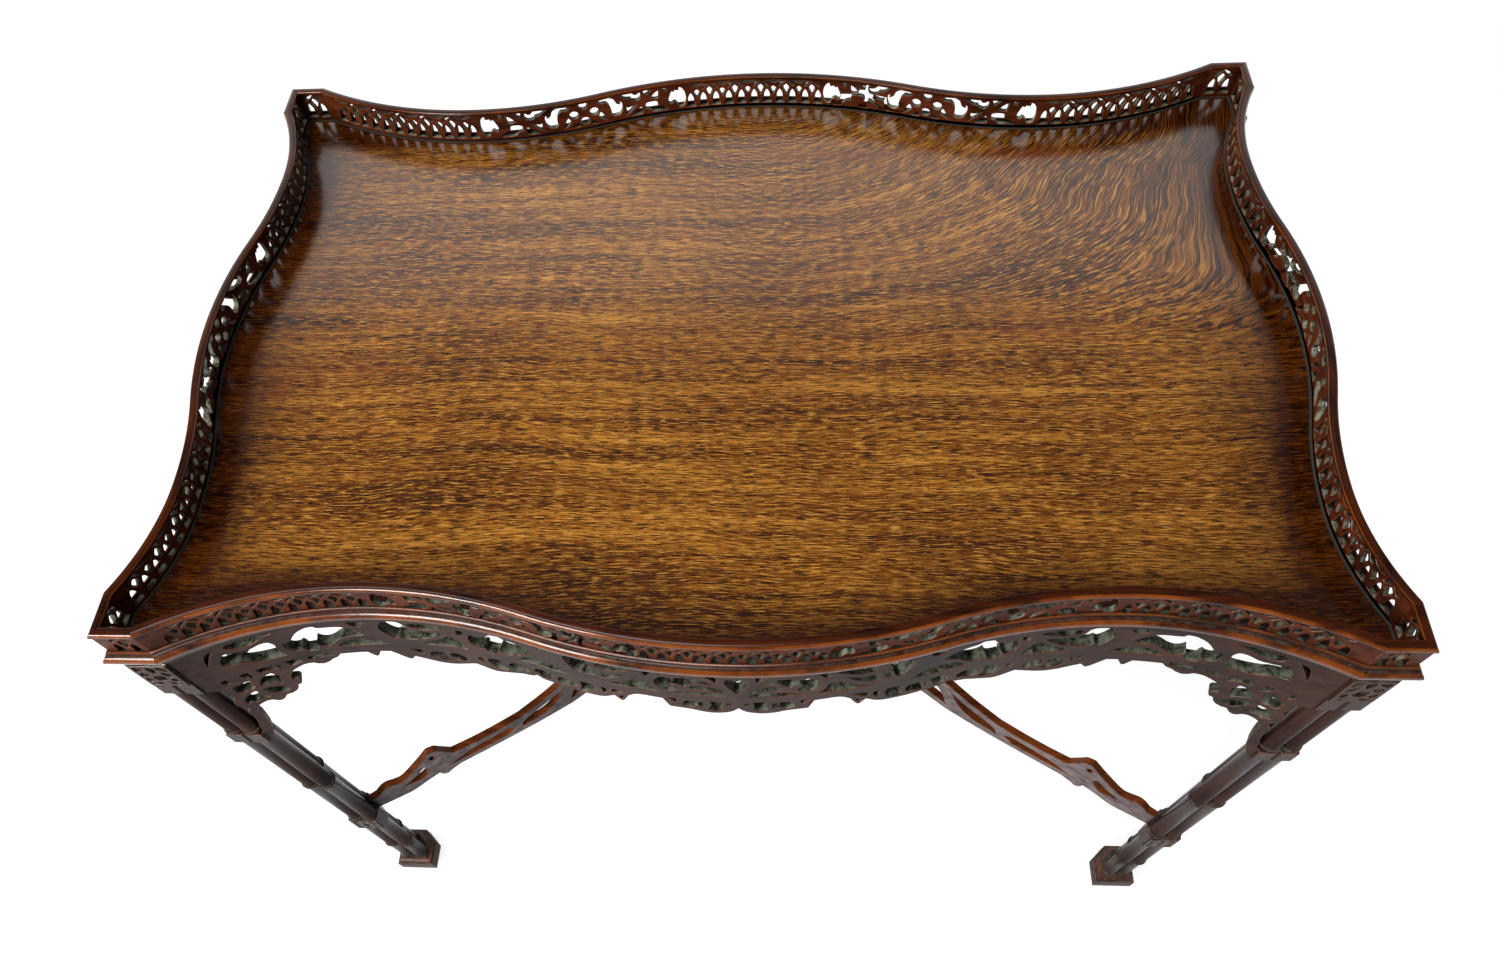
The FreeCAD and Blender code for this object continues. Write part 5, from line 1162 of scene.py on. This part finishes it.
COLLAR_CARVING = (COLLAR_FOOT, COLLAR_CARVING_HEIGHT, (
    symmetric(((0, 19), (3, 17.6), (4.6, 14.5), (3, 11.4), (0, 10))),
    symmetric(((0, 27), (3.6, 26.6), (3.4, 23), (0, 20.8))),
    symmetric(((0, 2), (3.6, 2.4), (3.4, 6), (0, 8.2))),
    ((6, 26.6), (13.5, 26.6), (13.5, 19.6), (9.6, 21.4), (6, 22.4)),
    ((6, 2.4), (13.5, 2.4), (13.5, 9.4), (9.6, 7.6), (6, 6.6)),
    ((6.6, 14.5), (8.6, 17.6), (13.5, 17), (13.5, 12), (8.6, 11.4)),
))


def face_plates(name):
    """The raised carving, on both outer faces of each block, split by the groove down its middle."""
    meshes = []
    for low, height, openings in (BLOCK_CARVING, COLLAR_CARVING):
        holes = []
        for opening in openings:
            soft = eased(opening)
            holes.append([(x, low + z) for x, z in soft])
            if min(x for x, _ in opening) > 0:
                holes.append([(-x, low + z) for x, z in soft])
        loops = [rectangle_loop(PLATE_HALF, low, low + height)] + holes
        out = Matrix.Translation((0, -BLOCK_HALF - PLATE_OUT, 0))
        stand = out @ Matrix.Rotation(math.radians(90), 4, "X")
        for turn in (0, -90):
            mesh = pierced(name, loops, PLATE_THICKNESS, PLATE_EASE)
            mesh.transform(Matrix.Rotation(math.radians(turn), 4, "Z") @ stand)
            mesh.transform(Matrix.Scale(MM, 4))
            meshes.append(mesh)
    return meshes


def make_leg(name):
    step_low = UPPER_COLLAR + UPPER_COLLAR_HEIGHT
    levels = (FOOT_TOP + BAND_HALF, LOWER_BAND, LOWER_COLLAR + LOWER_COLLAR_HEIGHT + BAND_HALF, UPPER_BAND,
              step_low + COLLAR_STEP + BAND_HALF)
    profile = [(0, FOOT_TOP)]
    for level in levels:
        profile += bead_profile(COLUMN_RADIUS, level)
    top = BOARD_UNDER - BLOCK_HEIGHT + COLLAR_STEP
    profile += [(COLUMN_RADIUS, top), (0, top)]
    meshes = []
    for x, y in ((-1, -1), (1, -1), (-1, 1)):
        meshes.append(mesh_from(name, *lathe(profile, (x * COLUMN_OFFSET, y * COLUMN_OFFSET))))
    core = block_plan(COLUMN_OFFSET, COLUMN_OFFSET)
    meshes.append(mesh_from(name, *stacked(((core, FOOT_TOP), (core, BOARD_UNDER)))))
    for low, high in ((LOWER_COLLAR, LOWER_COLLAR + LOWER_COLLAR_HEIGHT), (UPPER_COLLAR, step_low),
                      (BOARD_UNDER - BLOCK_HEIGHT, BOARD_UNDER)):
        full = block_plan(BLOCK_HALF, BLOCK_CHAMFER, BLOCK_GROOVE)
        less = block_plan(BLOCK_HALF - BLOCK_EASE, BLOCK_CHAMFER, BLOCK_GROOVE)
        plans = ((less, low), (full, low + BLOCK_EASE), (full, high - BLOCK_EASE), (less, high))
        meshes.append(mark_slopes(mesh_from(name, *stacked(plans))))
    meshes += face_plates(name)
    step = block_plan(BLOCK_HALF - COLLAR_STEP_IN, BLOCK_CHAMFER, BLOCK_GROOVE)
    meshes.append(mesh_from(name, *stacked(((step, step_low), (step, step_low + COLLAR_STEP)))))
    return finish_mesh(joined_mesh(name, meshes))


FOOT_STEPS = (
    (24, 12.6), (24, 32.6), (23.7, PLINTH_TOP), (22.4, PLINTH_TOP), (22, 33.8), (22, 36.1), (21.4, 36.6),
    (20.6, 36.7), (19.4, 37.3), (18.3, 38.4), (17.5, 39.4), (17, 39.8), (16.8, 40.4), (16.8, FOOT_TOP),
)


def make_foot(name):
    """The moulded plinth, hollow below for its castor."""
    plans = [(block_plan(PLINTH_HALF - FOOT_EASE, PLINTH_CHAMFER), FOOT_CLEAR)]
    plans += [(block_plan(half, PLINTH_CHAMFER), level) for half, level in FOOT_STEPS]
    mesh = finish_mesh(mark_slopes(mesh_from(name, *stacked(plans))))
    low, high = FOOT_CLEAR - CUTTER_BELOW, FOOT_CLEAR + CASTOR_HOLE_DEPTH
    cutter_profile = ((0, low), (CASTOR_HOLE_RADIUS, low), (CASTOR_HOLE_RADIUS, high), (0, high))
    cutter_mesh = finish_mesh(mesh_from(name + "_cutter", *lathe(cutter_profile, (0, 0))))
    holder = bpy.data.objects.new(name + "_holder", mesh)
    cutter = bpy.data.objects.new(name + "_cutter", cutter_mesh)
    for item in (holder, cutter):
        bpy.context.scene.collection.objects.link(item)
    hollow = holder.modifiers.new("hollow", "BOOLEAN")
    hollow.object = cutter
    hollow.solver = "EXACT"
    bpy.context.view_layer.update()
    seen = holder.evaluated_get(bpy.context.evaluated_depsgraph_get())
    result = bpy.data.meshes.new_from_object(seen)
    bpy.data.objects.remove(holder)
    bpy.data.objects.remove(cutter)
    return finish_mesh(result)


def arm_place(along_share, level_share):
    return (BLOCK_HALF + along_share * (ARM_REACH - BLOCK_HALF), ARM_LEVEL + level_share * ARM_RISE)


def make_arm(name, corner):
    """A pierced stretcher board on edge, cut to its collar and run into the boss."""
    loops = [outline(ARM_SHARES, arm_place)]
    loops += [narrowed(outline(runs, arm_place), ARM_RIB_SWELL) for runs in ARM_HOLE_SHARES]
    mesh = pierced(name, loops, ARM_THICKNESS, ARM_EASE)
    along_x, along_y = CORNERS[corner]
    upright = Matrix(((1, 0, 0, 0), (0, 0, 1, 0), (0, 1, 0, 0), (0, 0, 0, 1)))
    mesh.transform(upright)
    work = bmesh.new()
    work.from_mesh(mesh)
    bmesh.ops.remove_doubles(work, verts=work.verts, dist=FLAT_WELD)
    skew = math.radians(45) - math.atan2(LEG_Y, LEG_X)
    collar = (2 * BLOCK_HALF - BLOCK_CHAMFER) / math.sqrt(2)
    square = Vector((math.cos(skew), along_x * along_y * math.sin(skew), 0))
    boss_face = Vector((ARM_REACH - BOSS_RADIUS + ARM_INTO_BOSS, 0, 0))
    for point, normal in ((square * collar, -square), (boss_face, Vector((1, 0, 0)))):
        on_cut = cut_through(work, point, normal, clear=True)
        edges = [item for item in on_cut if isinstance(item, bmesh.types.BMEdge)]
        bmesh.ops.contextual_create(work, geom=edges)
    work.to_mesh(mesh)
    work.free()
    inward = math.atan2(-along_y * LEG_Y, -along_x * LEG_X)
    move = Matrix.Translation((along_x * LEG_X, along_y * LEG_Y, 0)) @ Matrix.Rotation(inward, 4, "Z")
    mesh.transform(Matrix.Scale(MM, 4) @ move)
    return finish_mesh(mesh)


for corner in CORNERS:
    name = "cluster_leg_" + corner
    new_piece(name, at_leg(make_leg(name), corner), leg_woods, "leg_" + corner)
    name = "plinth_" + corner
    new_piece(name, at_leg(make_foot(name), corner), foot_woods, "foot_" + corner)
    name = "arm_" + corner
    new_piece(name, make_arm(name, corner), arm_woods, "stretcher_" + corner)

# The boss as radii and rises, below the arms' lower edge and above their upper edge.
BOSS_BELOW = (
    (0, -BOSS_DROP), (2.4, -11.6), (4.6, -10.4), (5.6, -8.6), (5.2, -7), (6.4, -6), (10, -5.2), (14.5, -3.6),
    (17.6, -1.4), (BOSS_RADIUS, 0.8),
)
BOSS_ABOVE = (
    (BOSS_RADIUS, -0.8), (18, 0.6), (16.4, 1), (16, 1.6), (13.6, 3), (10.4, 4), (7.2, 5), (5.8, 6.2),
    (6.4, 7.8), (6.2, 9.8), (4.6, 12), (2.4, 13.5), (0, BOSS_FINIAL),
)
boss_profile = [(radius, ARM_LEVEL + ARM_RISE * share + rise)
                for steps, share in ((BOSS_BELOW, ARM_END_LOW_SHARE), (BOSS_ABOVE, ARM_END_HIGH_SHARE))
                for radius, rise in steps]
boss_mesh = finish_mesh(mesh_from("centre_boss", *lathe(boss_profile, (0, 0), BOSS_SEGMENTS)))
new_piece("centre_boss", boss_mesh, arm_woods, "stretcher_boss")


def repaint(name, material):
    """Gives a CAD node that stays its better material."""
    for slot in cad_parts[name].material_slots:
        slot.material = material


for corner in CORNERS:
    repaint("castor_horn_" + corner, brass)
    repaint("castor_wheel_" + corner, wheel_brass)
repaint("castor_plates", brass)
repaint("castor_screws", iron)
repaint("top_screws", iron)
repaint("glue_blocks", block_wood)

# Floor, backdrop and light.
def stage_material(name, colour, glow):
    """A pale surface that also shows white to the camera and in reflections, with its shadows."""
    n = Nodes(name)
    n.shader.inputs["Base Color"].default_value = colour
    n.shader.inputs["Roughness"].default_value = 0.9
    n.shader.inputs["Emission Color"].default_value = (1, 1, 1, 1)
    path = n.add("ShaderNodeLightPath")
    shown = n.plus(path.outputs["Is Camera Ray"], path.outputs["Is Glossy Ray"])
    shown = n.plus(shown, path.outputs["Is Transmission Ray"], clamp=True)
    n.feed(n.shader.inputs["Emission Strength"], n.times(shown, glow))
    return n.material


def plain_sheet(name, corners, material):
    mesh = bpy.data.meshes.new(name)
    mesh.from_pydata(corners, [], [(0, 1, 2, 3)])
    mesh.materials.append(material)
    sheet = bpy.data.objects.new(name, mesh)
    bpy.context.scene.collection.objects.link(sheet)


FLOOR_REACH = 9
BACKDROP_Y = 1.5
BACKDROP_HALF = 2.4
BACKDROP_TOP = 2.15
STAGE_GLOW = 0.85
floor = [(x, y, 0) for x, y in rectangle_loop(FLOOR_REACH, -FLOOR_REACH, FLOOR_REACH)]
plain_sheet("floor", floor, stage_material("white_floor", (0.3, 0.3, 0.3, 1), STAGE_GLOW))
backdrop = [(x, BACKDROP_Y, z) for x, z in rectangle_loop(BACKDROP_HALF, 0, BACKDROP_TOP)]
plain_sheet("backdrop", backdrop, stage_material("white_backdrop", (0.6, 0.6, 0.6, 1), STAGE_GLOW))

world = bpy.data.worlds.new("studio")
bpy.context.scene.world = world
world.use_nodes = True
world.node_tree.nodes["Background"].inputs[0].default_value = (0.93, 0.95, 1.0, 1)
world.node_tree.nodes["Background"].inputs[1].default_value = 0.12


def soft_lamp(name, place, width, height, power):
    lamp = bpy.data.lights.new(name, "AREA")
    lamp.shape = "RECTANGLE"
    lamp.size = width
    lamp.size_y = height
    lamp.energy = power
    lamp.color = LAMP_COLOUR
    holder = bpy.data.objects.new(name, lamp)
    holder.location = place
    holder.rotation_euler = (TABLE_MIDDLE - Vector(place)).to_track_quat("-Z", "Y").to_euler()
    bpy.context.scene.collection.objects.link(holder)


# Each lamp with its place and size in metres and its power in watts.
TABLE_MIDDLE = Vector((0, 0, 0.6))
LAMP_COLOUR = (1, 0.97, 0.94)
LAMPS = (
    ("front_left", (-1.6, -2.1, 1.8), 0.8, 0.8, 80),
    ("front_right", (2.4, -1.6, 1.7), 1.0, 1.0, 3),
    ("overhead", (-0.8, -0.6, 3.4), 1.8, 1.2, 78),
)
for lamp_values in LAMPS:
    soft_lamp(*lamp_values)

# Camera, worked out from the photograph's frame of 1500 by 975 pixels.
FRAME_WIDTH = 1500
FRAME_HEIGHT = 975
FOCAL_PX = 980.1
CAMERA_AT = (0.0413, -0.6205, 1.353)
YAW, PITCH, ROLL = 0.1452, 1.0878, -0.1204
AXIS_PX = (724.1, 612.9)
scene = bpy.context.scene
camera_data = bpy.data.cameras.new("camera")
camera_data.sensor_fit = "HORIZONTAL"
camera_data.sensor_width = 36
camera_data.lens = FOCAL_PX / FRAME_WIDTH * camera_data.sensor_width
camera_data.shift_x = (FRAME_WIDTH / 2 - AXIS_PX[0]) / FRAME_WIDTH
camera_data.shift_y = (AXIS_PX[1] - FRAME_HEIGHT / 2) / FRAME_WIDTH
camera_data.clip_start = 0.02
forward = Vector((0, math.cos(PITCH), -math.sin(PITCH)))
level_up = Vector((0, math.sin(PITCH), math.cos(PITCH)))
level_right = Vector((1, 0, 0))
right = math.cos(ROLL) * level_right + math.sin(ROLL) * level_up
up = -math.sin(ROLL) * level_right + math.cos(ROLL) * level_up
turned_axes = Matrix.Rotation(YAW, 3, "Z") @ Matrix((right, up, -forward)).transposed()
camera = bpy.data.objects.new("camera", camera_data)
camera.matrix_world = Matrix.Translation(CAMERA_AT) @ turned_axes.to_4x4()
scene.collection.objects.link(camera)
scene.camera = camera
scene.view_settings.view_transform = "Standard"
